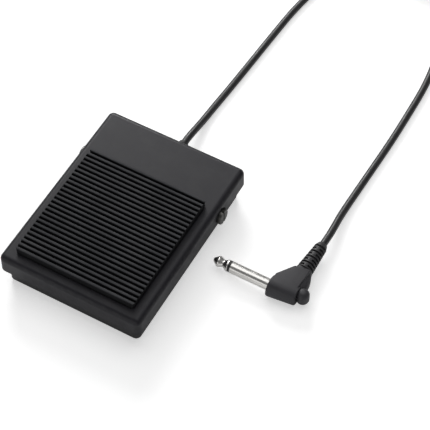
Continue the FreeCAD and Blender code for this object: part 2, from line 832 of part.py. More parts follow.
def switch_plunger():
    """Small pin with a domed top that the lever presses down."""
    y = lever_hinge_y - plunger_arm
    under = lever_top_z(y, lever_slope) - lever_thickness / math.cos(math.radians(lever_slope))
    dome_z = under - (plunger_radius + plunger_lever_gap) / math.cos(math.radians(lever_slope))
    shaft = rod_z(plunger_radius, board_x, y, dome_z - plunger_depth, dome_z)
    return shaft.fuse(Part.makeSphere(plunger_radius, V(board_x, y, dome_z)))


def switch_lever():
    """Thin spring-steel lever with a rolled hinge, raised towards its free end."""
    x0 = board_x - lever_width / 2
    hinge = V(x0, lever_hinge_y, lever_hinge_z)
    roll = rod(lever_hinge_radius, hinge, hinge + X_AXIS * lever_width)
    roll_top_z = lever_hinge_z + lever_hinge_radius
    strip = box(x0, x0 + lever_width, lever_hinge_y - lever_reach, lever_hinge_y,
                roll_top_z - lever_roll_overlap, roll_top_z + lever_thickness)
    lever = roll.fuse(strip).removeSplitter()
    lever.rotate(hinge, X_AXIS, -lever_slope)
    return lever


def switch_terminals():
    """Three pins from the switch through the board."""
    pins = [centred_box(x, y, terminal_width, terminal_width, board_top_z - terminal_length, board_top_z)
            for x, y in terminal_places()]
    return Part.makeCompound(pins)


# Cord inside the tray, its clamp and its bushing
def clamp_under_z():
    """Underside of the clamp bar."""
    return cord_exit_z + clamp_drop


def clamp_screw_end_z():
    """Lower end of the clamp's screws, in their posts."""
    return clamp_under_z() + clamp_thickness - clamp_screw_length


def cord_clamp():
    """Bar that holds the cord down on its saddle."""
    low = clamp_under_z()
    bar = centred_box(cord_x, clamp_y, clamp_width, clamp_depth, low, low + clamp_thickness)
    upright = [edge for edge in bar.Edges if abs(edge.tangentAt(edge.FirstParameter).z) > 0.9]
    bar = bar.makeFillet(clamp_depth / 3, upright)
    cuts = [rod(cord_radius, V(cord_x, clamp_y - clamp_depth, cord_exit_z),
                V(cord_x, clamp_y + clamp_depth, cord_exit_z))]
    for side in (-1, 1):
        cuts.append(rod_z(clamp_screw_radius, cord_x + side * clamp_screw_spread, clamp_y,
                          low, low + clamp_thickness))
    return cut_all(bar, cuts)


def clamp_screws():
    """Two screws of the cord clamp."""
    return Part.makeCompound([
        pan_screw(cord_x + side * clamp_screw_spread, clamp_y, clamp_under_z() + clamp_thickness,
                  clamp_screw_radius, clamp_screw_length, clamp_screw_head_radius, clamp_screw_head_height)
        for side in (-1, 1)])


def cord_bushing():
    """Rubber bushing: inner flange, neck in the tray's wall, outer flange and ringed taper."""
    inside_y = base_inside_y
    reach = bushing_end_y - base_rear_y - bushing_flange_thickness
    taper_start = base_rear_y + bushing_flange_thickness
    profile = [(inside_y - bushing_flange_thickness, cord_radius),
               (inside_y - bushing_flange_thickness, bushing_flange_radius),
               (inside_y, bushing_flange_radius), (inside_y, bushing_neck_radius),
               (base_rear_y, bushing_neck_radius), (base_rear_y, bushing_flange_radius),
               (taper_start, bushing_flange_radius), (taper_start, bushing_root_radius),
               (bushing_end_y, bushing_tip_radius), (bushing_end_y, cord_radius)]
    bushing = turned(profile, V(cord_x, 0, cord_exit_z), Y_AXIS, X_AXIS)
    pitch = reach / (bushing_ring_count + 0.5)
    for index in range(bushing_ring_count):
        y = taper_start + (index + 0.5) * pitch
        share = (y - taper_start) / reach
        surface = bushing_root_radius + (bushing_tip_radius - bushing_root_radius) * share
        bushing = bushing.cut(ring(surface + 1, surface - bushing_ring_groove / 2, V(cord_x, y, cord_exit_z),
                                   V(cord_x, y + bushing_ring_groove, cord_exit_z)))
    return bushing.cut(centred_box(cord_x, inside_y - bushing_flange_thickness / 2, 4 * bushing_flange_radius,
                                   bushing_flange_thickness, 0, floor_top_z))


def cord_tail():
    """End of the cord's jacket inside the bushing and the tray."""
    return rod(cord_radius, V(cord_x, tail_end_y, cord_exit_z), V(cord_x, bushing_end_y, cord_exit_z))


def inner_wire(side, row, name):
    """Insulated wire from the cord's jacket to a pad near the board's rear corner."""
    start = V(cord_x + side * wire_spread, tail_end_y, cord_exit_z)
    pad = V(board_x - board_width / 2 + board_screw_inset,
            board_y + board_length / 2 - board_screw_inset - row * wire_pad_pitch,
            board_top_z + wire_diameter / 2)
    leaving = start - Y_AXIS * wire_lead + Z_AXIS * wire_arch
    landing = pad + Y_AXIS * wire_lead - X_AXIS * wire_lead / 2
    middle = (leaving + landing) / 2 + Z_AXIS * wire_arch
    points = [tuple(point) for point in (start, leaving, middle, landing, pad)]
    return routed_tube(points, wire_diameter, name)


def signal_wire():
    """Wire to the rear pad of the board."""
    return inner_wire(1, 0, "signal_wire")


def ground_wire():
    """Wire to the pad in front of it."""
    return inner_wire(-1, 1, "ground_wire")


# Plug
def plug_point(distance):
    """Point on the plug's axis at a distance from its tip."""
    return V(plug_tip_x + distance, plug_y, plug_axis_z)


def plug_tip():
    """Pointed tip contact with its waist, and the rod that carries it."""
    body_end = plug_length + barrel_length / 2
    profile = tip_profile + [
        (tip_shoulder, plug_radius), (plug_tip_length, plug_radius),
        (plug_tip_length, plug_rod_radius), (body_end, plug_rod_radius), (body_end, 0),
    ]
    return turned(profile, plug_point(0), X_AXIS, Y_AXIS)


def plug_insulator():
    """Insulating ring behind the tip, with the liner inside the sleeve."""
    ring_end = plug_tip_length + plug_ring_length
    liner = plug_rod_radius + plug_liner_wall
    profile = [
        (plug_tip_length, plug_rod_radius), (plug_tip_length, plug_radius),
        (ring_end, plug_radius), (ring_end, liner),
        (plug_length, liner), (plug_length, plug_rod_radius),
    ]
    return turned(profile, plug_point(0), X_AXIS, Y_AXIS)


def plug_sleeve():
    """Long sleeve contact."""
    start = plug_point(plug_tip_length + plug_ring_length)
    return ring(plug_radius, plug_rod_radius + plug_liner_wall, start, plug_point(plug_length))


def upright_circle(centre, radius):
    """Closed wire of a circle across the plug's axis."""
    return Part.Wire(Part.makeCircle(radius, centre, X_AXIS))


def plug_barrel():
    """Slightly tapered barrel with rounded ends."""
    start = plug_point(plug_length)
    end = plug_point(plug_length + barrel_length) + Y_AXIS * barrel_lean
    circles = [upright_circle(start, barrel_radius), upright_circle(end, barrel_end_radius)]
    barrel = Part.makeLoft(circles, True)
    middle = (start.x + end.x) / 2
    left = [edge for edge in barrel.Edges if edge.BoundBox.XMax < middle]
    barrel = barrel.makeFillet(barrel_face_round, left)
    right = [edge for edge in barrel.Edges if edge.BoundBox.XMin > end.x - 1e-3]
    return barrel.makeFillet(barrel_end_round, right)


def plug_pad():
    """Flat pad that touches the barrel's top line and runs to the neck."""
    outline = [
        V(pad_left_x, plug_y, plug_axis_z), V(pad_left_x, pad_left_y, plug_axis_z),
        V(pad_neck_left_x, pad_neck_left_y, plug_axis_z),
        V(pad_neck_right_x, pad_neck_right_y, plug_axis_z), V(pad_right_x, plug_y, plug_axis_z),
    ]
    pad = Part.Face(Part.makePolygon(outline + outline[:1])).extrude(Z_AXIS * 2 * barrel_radius)
    start = plug_point(plug_length) + Z_AXIS * barrel_radius
    fall = math.degrees(math.atan((barrel_radius - barrel_end_radius) / barrel_length))
    corner = start - V(barrel_length / 2, neck_end_y, 0)
    above = Part.makeBox(2 * barrel_length, 2 * neck_end_y, 2 * barrel_radius, corner)
    above.rotate(start, Y_AXIS, fall)
    pad = pad.cut(above)
    rounded = []
    for edge in pad.Edges:
        bounds = edge.BoundBox
        if bounds.ZMin > plug_axis_z + barrel_end_radius / 2 and bounds.YMax > pad_left_y - 1e-3:
            rounded.append(edge)
    return pad.makeFillet(pad_edge_round, rounded)


def plug_neck():
    """Round-edged body under the pad, narrowing to the cord."""
    outlines = []
    for y, left, right, height in neck_sections:
        outline = rounded_outline(right - left, height, height / 3, 0)
        outline.rotate(V(0, 0, 0), X_AXIS, 90)
        outline.translate(V((left + right) / 2, y, plug_axis_z))
        outlines.append(outline)
    return Part.makeLoft(outlines, True, True)


def plug_boss():
    """Round-ended upright boss on the barrel's far end."""
    end = plug_point(plug_length + barrel_length)
    place = end + V(boss_reach, boss_set_back, -boss_height / 2)
    boss = Part.makeCylinder(boss_radius, boss_height, place)
    return boss.makeFillet(boss_round, [edge for edge in boss.Edges if edge.Closed])


def plug_body():
    """Moulded right-angle body: barrel, pad, neck and end boss."""
    body = fuse_all([plug_barrel(), plug_neck(), plug_pad(), plug_boss()])
    start, rod_end = plug_point(plug_length), plug_point(plug_length + barrel_length / 2)
    root, tip = relief_ends()
    return cut_all(body, [rod(plug_rod_radius, start, rod_end), rod(2 * relief_root_radius, root, tip)])


def relief_ends():
    """Where the strain relief starts and ends on its axis."""
    root = V(neck_x, neck_end_y, plug_axis_z)
    return root, V(cord_end_x, neck_end_y + relief_length, plug_axis_z)


def plug_strain_relief():
    """Tapered round strain relief, ringed by grooves that two bridges cross by turns."""
    root, tip = relief_ends()
    along = (tip - root).normalize()
    length = (tip - root).Length
    profile = [(0, 0), (0, relief_root_radius), (length - relief_shoulder, relief_tip_radius),
               (length, relief_end_radius), (length, 0)]
    relief = turned(profile, root, along, Z_AXIS)
    slot_span = length - relief_slot_start - relief_end_ring - relief_slot_width
    pitch = slot_span / (relief_slot_rows - 1)
    bridge = box(-relief_bridge_width / 2, relief_bridge_width / 2, 0, length,
                 -2 * relief_root_radius, 2 * relief_root_radius)
    bridge.rotate(V(0, 0, 0), Z_AXIS, -math.degrees(math.atan2(along.x, along.y)))
    grooves = []
    for row in range(relief_slot_rows):
        near = relief_slot_start + row * pitch
        surface = relief_root_radius + (relief_tip_radius - relief_root_radius) * near / length
        groove = ring(2 * relief_root_radius, surface - relief_slot_depth,
                      root + along * near, root + along * (near + relief_slot_width))
        kept = bridge.copy()
        if row % 2:
            kept.rotate(V(0, 0, 0), along, 90)
        kept.translate(root)
        grooves.append(groove.cut(kept))
    return relief.cut(Part.makeCompound(grooves))


# Free cord
def coil_place(turn):
    """Point on the coil's middle line; it spirals in and out and climbs at each reversal."""
    inward, height, begun = 0.0, 0.0, 0.0
    for layer, layer_turns in enumerate(coil_layer_turns):
        spent = min(max(turn - begun, 0.0), layer_turns)
        inward += spent if layer % 2 == 0 else -spent
        if layer > 0:
            share = min(max((turn - begun) / coil_climb_turns + 0.5, 0.0), 1.0)
            height += coil_pitch * share * share * (3 - 2 * share)
        begun += layer_turns
    radius = coil_outer_radius - coil_pitch * inward
    angle = math.pi - 2 * math.pi * turn
    return V(coil_x + radius * math.cos(angle), coil_y + radius * math.sin(angle),
             cord_radius + cord_lie_gap + height)


def cord_coil():
    """Put-away coil: one unbroken tube with a short straight lead at each end."""
    wire = wound_wire(coil_place, sum(coil_layer_turns), 4, (Y_AXIS, -Y_AXIS), cord_diameter)
    print("cord_coil length", round(wire.Length, 1), "least gap",
          round(least_gap(wire, cord_diameter, 1.0, 4 * cord_diameter), 2))
    return swept(wire, cord_radius)


def main():
    pieces = {
        "treadle_cover": treadle_cover(),
        "tread_mat": tread_mat(),
        "base_tray": base_tray(),
        "rubber_feet": rubber_feet(),
        "front_stop_pads": stop_pads(front_stop_x, front_stop_y, front_stop_post_z),
        "rear_stop_pads": stop_pads(rear_stop_x, rear_stop_y, rear_stop_post_z),
        "return_spring": return_spring(),
        "circuit_board": circuit_board(),
        "board_screws": board_screws(),
        "switch_case": switch_case(),
        "switch_lid": switch_lid(),
        "switch_plunger": switch_plunger(),
        "switch_lever": switch_lever(),
        "switch_terminals": switch_terminals(),
        "cord_clamp": cord_clamp(),
        "clamp_screws": clamp_screws(),
        "cord_bushing": cord_bushing(),
        "cord_tail": cord_tail(),
        "signal_wire": signal_wire(),
        "ground_wire": ground_wire(),
        "cord_pedal_run": routed_tube(pedal_run, cord_diameter, "cord_pedal_run"),
        "cord_coil": cord_coil(),
        "cord_plug_run": routed_tube(plug_run, cord_diameter, "cord_plug_run"),
        "plug_tip": plug_tip(),
        "plug_insulator": plug_insulator(),
        "plug_sleeve": plug_sleeve(),
        "plug_body": plug_body(),
        "plug_strain_relief": plug_strain_relief(),
    }
    for name, make in (("pivot_screw", pivot_screw), ("pivot_washer", pivot_washer),
                       ("pivot_bush", pivot_bush), ("pivot_insert", pivot_insert)):
        right = make()
        pieces[name + "_right"] = right
        pieces[name + "_left"] = mirrored(right)

    os.makedirs("parts", exist_ok=True)
    for name, shape in pieces.items():
        shape.exportStep("parts/" + name + ".step")
        print(name, "solids", len(shape.Solids), "valid", shape.isValid(), "volume", round(shape.Volume, 1))


main()
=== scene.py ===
import math

import bmesh
import bpy
from mathutils import Matrix, Vector


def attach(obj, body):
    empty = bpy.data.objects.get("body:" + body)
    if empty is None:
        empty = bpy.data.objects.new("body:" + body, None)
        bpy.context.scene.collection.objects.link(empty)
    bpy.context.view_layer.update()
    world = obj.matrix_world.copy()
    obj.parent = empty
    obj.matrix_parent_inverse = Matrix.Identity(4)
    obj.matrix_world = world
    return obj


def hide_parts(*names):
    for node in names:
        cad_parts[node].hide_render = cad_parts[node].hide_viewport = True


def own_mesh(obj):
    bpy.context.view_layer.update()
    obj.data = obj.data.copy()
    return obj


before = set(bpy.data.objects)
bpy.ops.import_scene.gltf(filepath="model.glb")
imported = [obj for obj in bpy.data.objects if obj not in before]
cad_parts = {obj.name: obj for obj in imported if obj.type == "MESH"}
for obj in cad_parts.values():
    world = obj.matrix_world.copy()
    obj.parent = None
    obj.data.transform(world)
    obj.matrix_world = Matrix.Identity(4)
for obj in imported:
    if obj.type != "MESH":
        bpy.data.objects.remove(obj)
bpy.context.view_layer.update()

MM = 0.001


# Camera, solved from the pedal's straight edges in the photograph; places in metres
camera_place = Vector((0.27471, -0.39491, 0.69342))
camera_target = Vector((0.036854, 0.028723, 0.00939))
camera_lens = 135.55


def make_camera():
    """Camera at the photograph's viewing angle."""
    lens = bpy.data.cameras.new("camera")
    lens.lens = camera_lens
    lens.sensor_width = 36.0
    lens.clip_start = 0.05
    lens.clip_end = 20.0
    camera = bpy.data.objects.new("camera", lens)
    bpy.context.scene.collection.objects.link(camera)
    camera.location = camera_place
    camera.rotation_mode = "QUATERNION"
    camera.rotation_quaternion = (camera_target - camera_place).to_track_quat("-Z", "Y")
    bpy.context.scene.camera = camera


make_camera()


# Cord, in millimetres
cord_radius = 2.0
pedal_run = [
    (-1.8, 57.0, 6.5), (-1.8, 63.4, 6.5), (-1.8, 68.6, 6.5), (-1.6, 76.5, 5.3), (-1.9, 86.0, 2.9),
    (-1.7, 97.0, 2.05), (-0.8, 110.0, 2.05), (0.3, 130.0, 2.05), (1.5, 155.0, 2.05), (3.2, 185.0, 2.05),
    (8.0, 210.0, 2.05), (15.0, 230.0, 2.05), (20.75, 246.0, 2.05),
]
plug_run = [
    (75.25, 248.0, 15.55), (76.4, 238.0, 13.4), (79.4, 226.0, 9.2),
    (84.5, 211.0, 4.6), (90.0, 190.0, 2.2), (93.2, 168.0, 2.05), (93.6, 142.0, 2.05),
    (93.6, 121.0, 2.05), (92.9, 100.0, 2.05), (92.3, 80.0, 2.2), (92.2, 65.0, 3.4),
    (93.2, 54.0, 5.4), (93.5, 47.2, 6.2), (93.13, 38.0, 6.2),
]
coil_centre = (48.0, 262.0)
coil_outer_radius = 27.25
coil_pitch = 4.5
coil_base_z = 2.05
coil_layer_turns = (2.5, 2.25, 2.25, 2.5)
coil_climb_turns = 0.5
coil_points_per_turn = 16


def coil_point(turn):
    """Point of the put-away coil; it spirals in and out and climbs where it turns back."""
    inward, height, begun = 0.0, 0.0, 0.0
    for layer, layer_turns in enumerate(coil_layer_turns):
        spent = min(max(turn - begun, 0.0), layer_turns)
        inward += spent if layer % 2 == 0 else -spent
        if layer > 0:
            share = min(max((turn - begun) / coil_climb_turns + 0.5, 0.0), 1.0)
            height += coil_pitch * share * share * (3 - 2 * share)
        begun += layer_turns
    # A spline of this order runs inside its points, so they stand a little further out
    spread = 4 / (3 + math.cos(2 * math.pi / coil_points_per_turn))
    radius = (coil_outer_radius - coil_pitch * inward) * spread
    angle = math.pi - 2 * math.pi * turn
    return (coil_centre[0] + radius * math.cos(angle), coil_centre[1] + radius * math.sin(angle),
            coil_base_z + height)


def make_cord():
    """Free cord from the pedal's bushing, through the coil, to the plug's strain relief."""
    turns = sum(coil_layer_turns)
    steps = round(turns * coil_points_per_turn)
    points = list(pedal_run)
    points += [coil_point((step + 0.5) * turns / steps) for step in range(steps)]
    points += plug_run
    curve = bpy.data.curves.new("cord", "CURVE")
    curve.dimensions = "3D"
    # The curve's box grows by its points' radius, so the radius carries the cord's size
    curve.bevel_depth = 1.0
    curve.bevel_resolution = 5
    curve.resolution_u = 6
    curve.use_fill_caps = True
    spline = curve.splines.new("NURBS")
    spline.points.add(len(points) - 1)
    for point, place in zip(spline.points, points):
        point.co = (place[0] * MM, place[1] * MM, place[2] * MM, 1.0)
        point.radius = cord_radius * MM
    spline.order_u = 3
    spline.use_endpoint_u = True
    cord = bpy.data.objects.new("cord", curve)
    bpy.context.scene.collection.objects.link(cord)
    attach(cord, "base")
    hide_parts("cord_pedal_run", "cord_coil", "cord_plug_run")
    return cord


cord = make_cord()


# Materials
millimetres_per_metre = 1000.0
dust_colour = (0.16, 0.155, 0.15)
# Mottle values between which roughness goes from its lowest to its highest
mottle_span = (0.3, 0.7)
roughness_spread = 0.05
scuff_roughness = 0.06
# How far the edges pale, partly as rubbed wear and partly as a painted highlight along them
rub_and_sheen_paleness = 0.55
rub_polish = 0.12
metal_line_depth = 0.002
metal_line_stretch = 0.02


def new_group(name, inputs, outputs):
    """Shader node group with named value inputs and named outputs."""
    group = bpy.data.node_groups.new(name, "ShaderNodeTree")
    for label, default in inputs:
        socket = group.interface.new_socket(label, in_out="INPUT", socket_type="NodeSocketFloat")
        socket.default_value = default
    for label in outputs:
        group.interface.new_socket(label, in_out="OUTPUT", socket_type="NodeSocketFloat")
    group.nodes.new("NodeGroupInput").name = "in"
    group.nodes.new("NodeGroupOutput").name = "out"
    return group


def add_node(tree, kind, **settings):
    """Node with its settings made."""
    node = tree.nodes.new(kind)
    for key, value in settings.items():
        setattr(node, key, value)
    return node


def calculate(tree, operation, first, second=None, third=None):
    """Math node; each operand is a socket or a number."""
    node = add_node(tree, "ShaderNodeMath", operation=operation)
    for index, value in enumerate((first, second, third)):
        if value is None:
            continue
        if isinstance(value, (int, float)):
            node.inputs[index].default_value = value
        else:
            tree.links.new(value, node.inputs[index])
    return node.outputs[0]


def ramp(tree, value, low, high, from_low, from_high):
    """Value carried from one span to another, held at the ends."""
    node = add_node(tree, "ShaderNodeMapRange", interpolation_type="SMOOTHSTEP")
    tree.links.new(value, node.inputs["Value"])
    node.inputs["From Min"].default_value = from_low
    node.inputs["From Max"].default_value = from_high
    node.inputs["To Min"].default_value = low
    node.inputs["To Max"].default_value = high
    return node.outputs["Result"]


def millimetre_coordinates(tree):
    """Object coordinates in millimetres."""
    coordinates = add_node(tree, "ShaderNodeTexCoord")
    mapping = add_node(tree, "ShaderNodeMapping")
    mapping.inputs["Scale"].default_value = (millimetres_per_metre,) * 3
    tree.links.new(coordinates.outputs["Object"], mapping.inputs["Vector"])
    return mapping.outputs["Vector"]


def make_grain_group():
    """Spark-eroded grain of moulded plastic: fine pits over a slow mottle."""
    group = new_group("moulded_grain", [("Grain Size", 0.35), ("Mottle Size", 9.0)],
                      ["Height", "Mottle", "Speck"])
    links = group.links
    place = millimetre_coordinates(group)
    per_grain = calculate(group, "DIVIDE", 1.0, group.nodes["in"].outputs["Grain Size"])
    per_mottle = calculate(group, "DIVIDE", 1.0, group.nodes["in"].outputs["Mottle Size"])
    pits = add_node(group, "ShaderNodeTexNoise", noise_dimensions="3D")
    pits.inputs["Detail"].default_value = 3.0
    pits.inputs["Roughness"].default_value = 0.55
    links.new(place, pits.inputs["Vector"])
    links.new(per_grain, pits.inputs["Scale"])
    cells = add_node(group, "ShaderNodeTexVoronoi", feature="F1")
    links.new(place, cells.inputs["Vector"])
    links.new(per_grain, cells.inputs["Scale"])
    mottle = add_node(group, "ShaderNodeTexNoise", noise_dimensions="3D")
    mottle.inputs["Detail"].default_value = 4.0
    links.new(place, mottle.inputs["Vector"])
    links.new(per_mottle, mottle.inputs["Scale"])
    mixed = calculate(group, "MULTIPLY_ADD", cells.outputs["Distance"], 0.5, pits.outputs["Fac"])
    links.new(mixed, group.nodes["out"].inputs["Height"])
    links.new(mottle.outputs["Fac"], group.nodes["out"].inputs["Mottle"])
    speck = ramp(group, pits.outputs["Fac"], 0.0, 1.0, 0.58, 0.74)
    links.new(speck, group.nodes["out"].inputs["Speck"])
    return group


def make_rub_and_sheen_group():
    """Rubbed edges and painted sheen: a mask along a box's outer edges, broken up by noise, that pales the
    colour there, partly as real wear and partly as a painted highlight.
    """
    inputs = [("Centre X", 0.0), ("Centre Y", 0.0), ("Half X", 41.0), ("Half Y", 54.4), ("Top Z", 22.1),
              ("Reach", 1.6), ("Break Size", 2.5)]
    group = new_group("edge_rub_and_sheen", inputs, ["Rub"])
    links = group.links
    given = group.nodes["in"].outputs
    place = millimetre_coordinates(group)
    split = add_node(group, "ShaderNodeSeparateXYZ")
    links.new(place, split.inputs[0])

    def distance(socket, from_name):
        """Distance along one axis from a place given to the group."""
        away = calculate(group, "SUBTRACT", split.outputs[socket], given[from_name])
        return calculate(group, "ABSOLUTE", away)

    from_side = calculate(group, "SUBTRACT", given["Half X"], distance("X", "Centre X"))
    from_end = calculate(group, "SUBTRACT", given["Half Y"], distance("Y", "Centre Y"))
    from_top = distance("Z", "Top Z")
    nearest = calculate(group, "MINIMUM", from_side, from_end)
    top_edge = calculate(group, "ADD", calculate(group, "MAXIMUM", nearest, 0.0), from_top)
    corner = calculate(group, "ADD", calculate(group, "MAXIMUM", from_side, 0.0),
                       calculate(group, "MAXIMUM", from_end, 0.0))
    either = calculate(group, "DIVIDE", calculate(group, "MINIMUM", top_edge, corner), given["Reach"])
    edge = ramp(group, either, 1.0, 0.0, 0.2, 1.4)
    patches = add_node(group, "ShaderNodeTexNoise", noise_dimensions="3D")
    patches.inputs["Detail"].default_value = 5.0
    links.new(place, patches.inputs["Vector"])
    links.new(calculate(group, "DIVIDE", 1.0, given["Break Size"]), patches.inputs["Scale"])
    broken = ramp(group, patches.outputs["Fac"], 0.0, 1.0, 0.35, 0.7)
    links.new(calculate(group, "MULTIPLY", edge, broken), group.nodes["out"].inputs["Rub"])
    return group


def make_dust_group():
    """A little dust and fine scuffs on faces that look up."""
    group = new_group("settled_dust", [("Scuff Size", 14.0)], ["Dust", "Scuff"])
    links = group.links
    place = millimetre_coordinates(group)
    facing = add_node(group, "ShaderNodeNewGeometry")
    split = add_node(group, "ShaderNodeSeparateXYZ")
    links.new(facing.outputs["Normal"], split.inputs[0])
    upward = ramp(group, split.outputs["Z"], 0.0, 1.0, 0.5, 0.95)
    clouds = add_node(group, "ShaderNodeTexNoise", noise_dimensions="3D")
    clouds.inputs["Scale"].default_value = 0.08
    clouds.inputs["Detail"].default_value = 6.0
    clouds.inputs["Roughness"].default_value = 0.6
    links.new(place, clouds.inputs["Vector"])
    dust = calculate(group, "MULTIPLY", upward, ramp(group, clouds.outputs["Fac"], 0.0, 1.0, 0.4, 0.75))
    links.new(dust, group.nodes["out"].inputs["Dust"])
    stretch = add_node(group, "ShaderNodeMapping")
    stretch.inputs["Scale"].default_value = (0.25, 1.0, 1.0)
    stretch.inputs["Rotation"].default_value = (0.0, 0.0, 0.6)
    links.new(place, stretch.inputs["Vector"])
    scuffs = add_node(group, "ShaderNodeTexNoise", noise_dimensions="3D")
    scuffs.inputs["Detail"].default_value = 8.0
    scuffs.inputs["Roughness"].default_value = 0.7
    scuffs.inputs["Distortion"].default_value = 0.4
    links.new(stretch.outputs["Vector"], scuffs.inputs["Vector"])
    per_scuff = calculate(group, "DIVIDE", 4.0, group.nodes["in"].outputs["Scuff Size"])
    links.new(per_scuff, scuffs.inputs["Scale"])
    lines = ramp(group, scuffs.outputs["Fac"], 0.0, 1.0, 0.6, 0.8)
    links.new(calculate(group, "MULTIPLY", lines, upward), group.nodes["out"].inputs["Scuff"])
    return group


grain_group = make_grain_group()
rub_and_sheen_group = make_rub_and_sheen_group()
dust_group = make_dust_group()


def place_group(tree, group, **values):
    """Group node with its own values; underscores in the names stand for spaces."""
    node = add_node(tree, "ShaderNodeGroup", node_tree=group)
    for key, value in values.items():
        node.inputs[key.replace("_", " ")].default_value = value
    return node


def colour_mix_sockets(node):
    """The colour sockets of a Mix node set to colours."""
    return node.inputs[6], node.inputs[7], node.outputs[2]


def blend_colours(tree, factor, first, second):
    """Colour between two; factor is a socket, the colours are sockets or (r, g, b)."""
    node = add_node(tree, "ShaderNodeMix", data_type="RGBA")
    low, high, result = colour_mix_sockets(node)
    tree.links.new(factor, node.inputs[0])
    for socket, value in ((low, first), (high, second)):
        if isinstance(value, tuple):
            socket.default_value = (*value, 1.0)
        else:
            tree.links.new(value, socket)
    return result


def start_material(name):
    """Empty material, its tree and its shader."""
    material = bpy.data.materials.new(name)
    material.use_nodes = True
    tree = material.node_tree
    return material, tree, tree.nodes["Principled BSDF"]


def add_bump(tree, shader, height, depth):
    """Bump from a height between 0 and 1 that stands for a depth in millimetres."""
    bump = add_node(tree, "ShaderNodeBump")
    bump.inputs["Distance"].default_value = depth * MM
    bump.inputs["Strength"].default_value = 1.0
    tree.links.new(height, bump.inputs["Height"])
    tree.links.new(bump.outputs["Normal"], shader.inputs["Normal"])


def moulded_plastic(name, dark, light, worn_and_sheen, roughness, grain=0.35, bump=0.012, rub_and_sheen=None, specular=0.5,
                    dustiness=0.12):
    """Matte moulded plastic: grain, slow mottle, a trace of dust, and edges paled partly as rubbed wear and
    partly as a painted highlight.
    """
    material, tree, shader = start_material(name)
    surface = place_group(tree, grain_group, Grain_Size=grain, Mottle_Size=11.0)
    colour = blend_colours(tree, surface.outputs["Mottle"], dark, light)
    dust = place_group(tree, dust_group)
    dusty = calculate(tree, "MULTIPLY", dust.outputs["Dust"], dustiness)
    colour = blend_colours(tree, dusty, colour, dust_colour)
    rough = ramp(tree, surface.outputs["Mottle"], roughness - roughness_spread, roughness + roughness_spread,
                 *mottle_span)
    rough = calculate(tree, "MULTIPLY_ADD", dust.outputs["Scuff"], scuff_roughness, rough)
    # Paler edges: partly rubbed wear, partly a painted highlight along the rounded edges
    if rub_and_sheen:
        edges = place_group(tree, rub_and_sheen_group, **rub_and_sheen)
        faint = calculate(tree, "MULTIPLY", edges.outputs["Rub"], rub_and_sheen_paleness)
        colour = blend_colours(tree, faint, colour, worn_and_sheen)
        rough = calculate(tree, "MULTIPLY_ADD", edges.outputs["Rub"], -rub_polish, rough)
    tree.links.new(colour, shader.inputs["Base Color"])
    tree.links.new(rough, shader.inputs["Roughness"])
    shader.inputs["Specular IOR Level"].default_value = specular
    add_bump(tree, shader, surface.outputs["Height"], bump)
    return material


def metal(name, colour, roughness, line_axis=None, line_size=0.12, dull=(0.5, 0.5, 0.5), dullness=0.15):
    """Metal with fine lathe or drawing lines across an axis and slow tarnish."""
    material, tree, shader = start_material(name)
    surface = place_group(tree, grain_group, Grain_Size=0.8, Mottle_Size=6.0)
    tarnish = calculate(tree, "MULTIPLY", surface.outputs["Mottle"], dullness)
    base = blend_colours(tree, tarnish, colour, dull)
    tree.links.new(base, shader.inputs["Base Color"])
    shader.inputs["Metallic"].default_value = 1.0
    rough = ramp(tree, surface.outputs["Mottle"], roughness * 0.8, roughness * 1.25, *mottle_span)
    tree.links.new(rough, shader.inputs["Roughness"])
    if line_axis is not None:
        lines = add_node(tree, "ShaderNodeTexNoise", noise_dimensions="3D")
        lines.inputs["Scale"].default_value = 1.0
        lines.inputs["Detail"].default_value = 2.0
        stretch = add_node(tree, "ShaderNodeMapping")
        scale = [metal_line_stretch / line_size] * 3
        scale[line_axis] = 1.0 / line_size
        stretch.inputs["Scale"].default_value = scale
        tree.links.new(millimetre_coordinates(tree), stretch.inputs["Vector"])
        tree.links.new(stretch.outputs["Vector"], lines.inputs["Vector"])
        add_bump(tree, shader, lines.outputs["Fac"], metal_line_depth)
    return material


# Edge masks for the paler edges, which are partly rub and partly painted highlight
cover_rub_and_sheen = dict(Half_X=41.1, Half_Y=54.5, Top_Z=21.4, Reach=1.6, Break_Size=2.2)
tray_rub_and_sheen = dict(Half_X=38.4, Half_Y=51.8, Top_Z=1.5, Reach=0.9, Break_Size=2.0)
treadle_plastic = moulded_plastic("treadle_plastic", (0.0135, 0.0130, 0.0172), (0.0165, 0.0158, 0.0205),
                                  (0.040, 0.040, 0.043), 0.41, rub_and_sheen=cover_rub_and_sheen, specular=0.30, dustiness=0.04)
tray_plastic = moulded_plastic("tray_plastic", (0.020, 0.020, 0.0212), (0.028, 0.028, 0.030),
                               (0.06, 0.06, 0.062), 0.55, rub_and_sheen=tray_rub_and_sheen)
plug_plastic = moulded_plastic("plug_plastic", (0.030, 0.029, 0.034), (0.040, 0.039, 0.045),
                               (0.08, 0.08, 0.08), 0.52, grain=0.28, bump=0.010)
relief_plastic = moulded_plastic("relief_plastic", (0.024, 0.024, 0.026), (0.032, 0.031, 0.034),
                                 (0.07, 0.07, 0.07), 0.50, grain=0.28, bump=0.008)
bushing_rubber = moulded_plastic("bushing_rubber", (0.020, 0.020, 0.020), (0.027, 0.027, 0.028),
                                 (0.06, 0.06, 0.06), 0.55, grain=0.25, bump=0.008)
foot_rubber = moulded_plastic("foot_rubber", (0.018, 0.018, 0.018), (0.030, 0.029, 0.028),
                              (0.06, 0.06, 0.06), 0.75, grain=0.30, bump=0.02)
switch_plastic = moulded_plastic("switch_plastic", (0.020, 0.020, 0.021), (0.026, 0.026, 0.027),
                                 (0.05, 0.05, 0.05), 0.42, grain=0.15, bump=0.004)
lid_plastic = moulded_plastic("lid_plastic", (0.085, 0.085, 0.095), (0.11, 0.11, 0.12),
                              (0.2, 0.2, 0.2), 0.42, grain=0.15, bump=0.004)
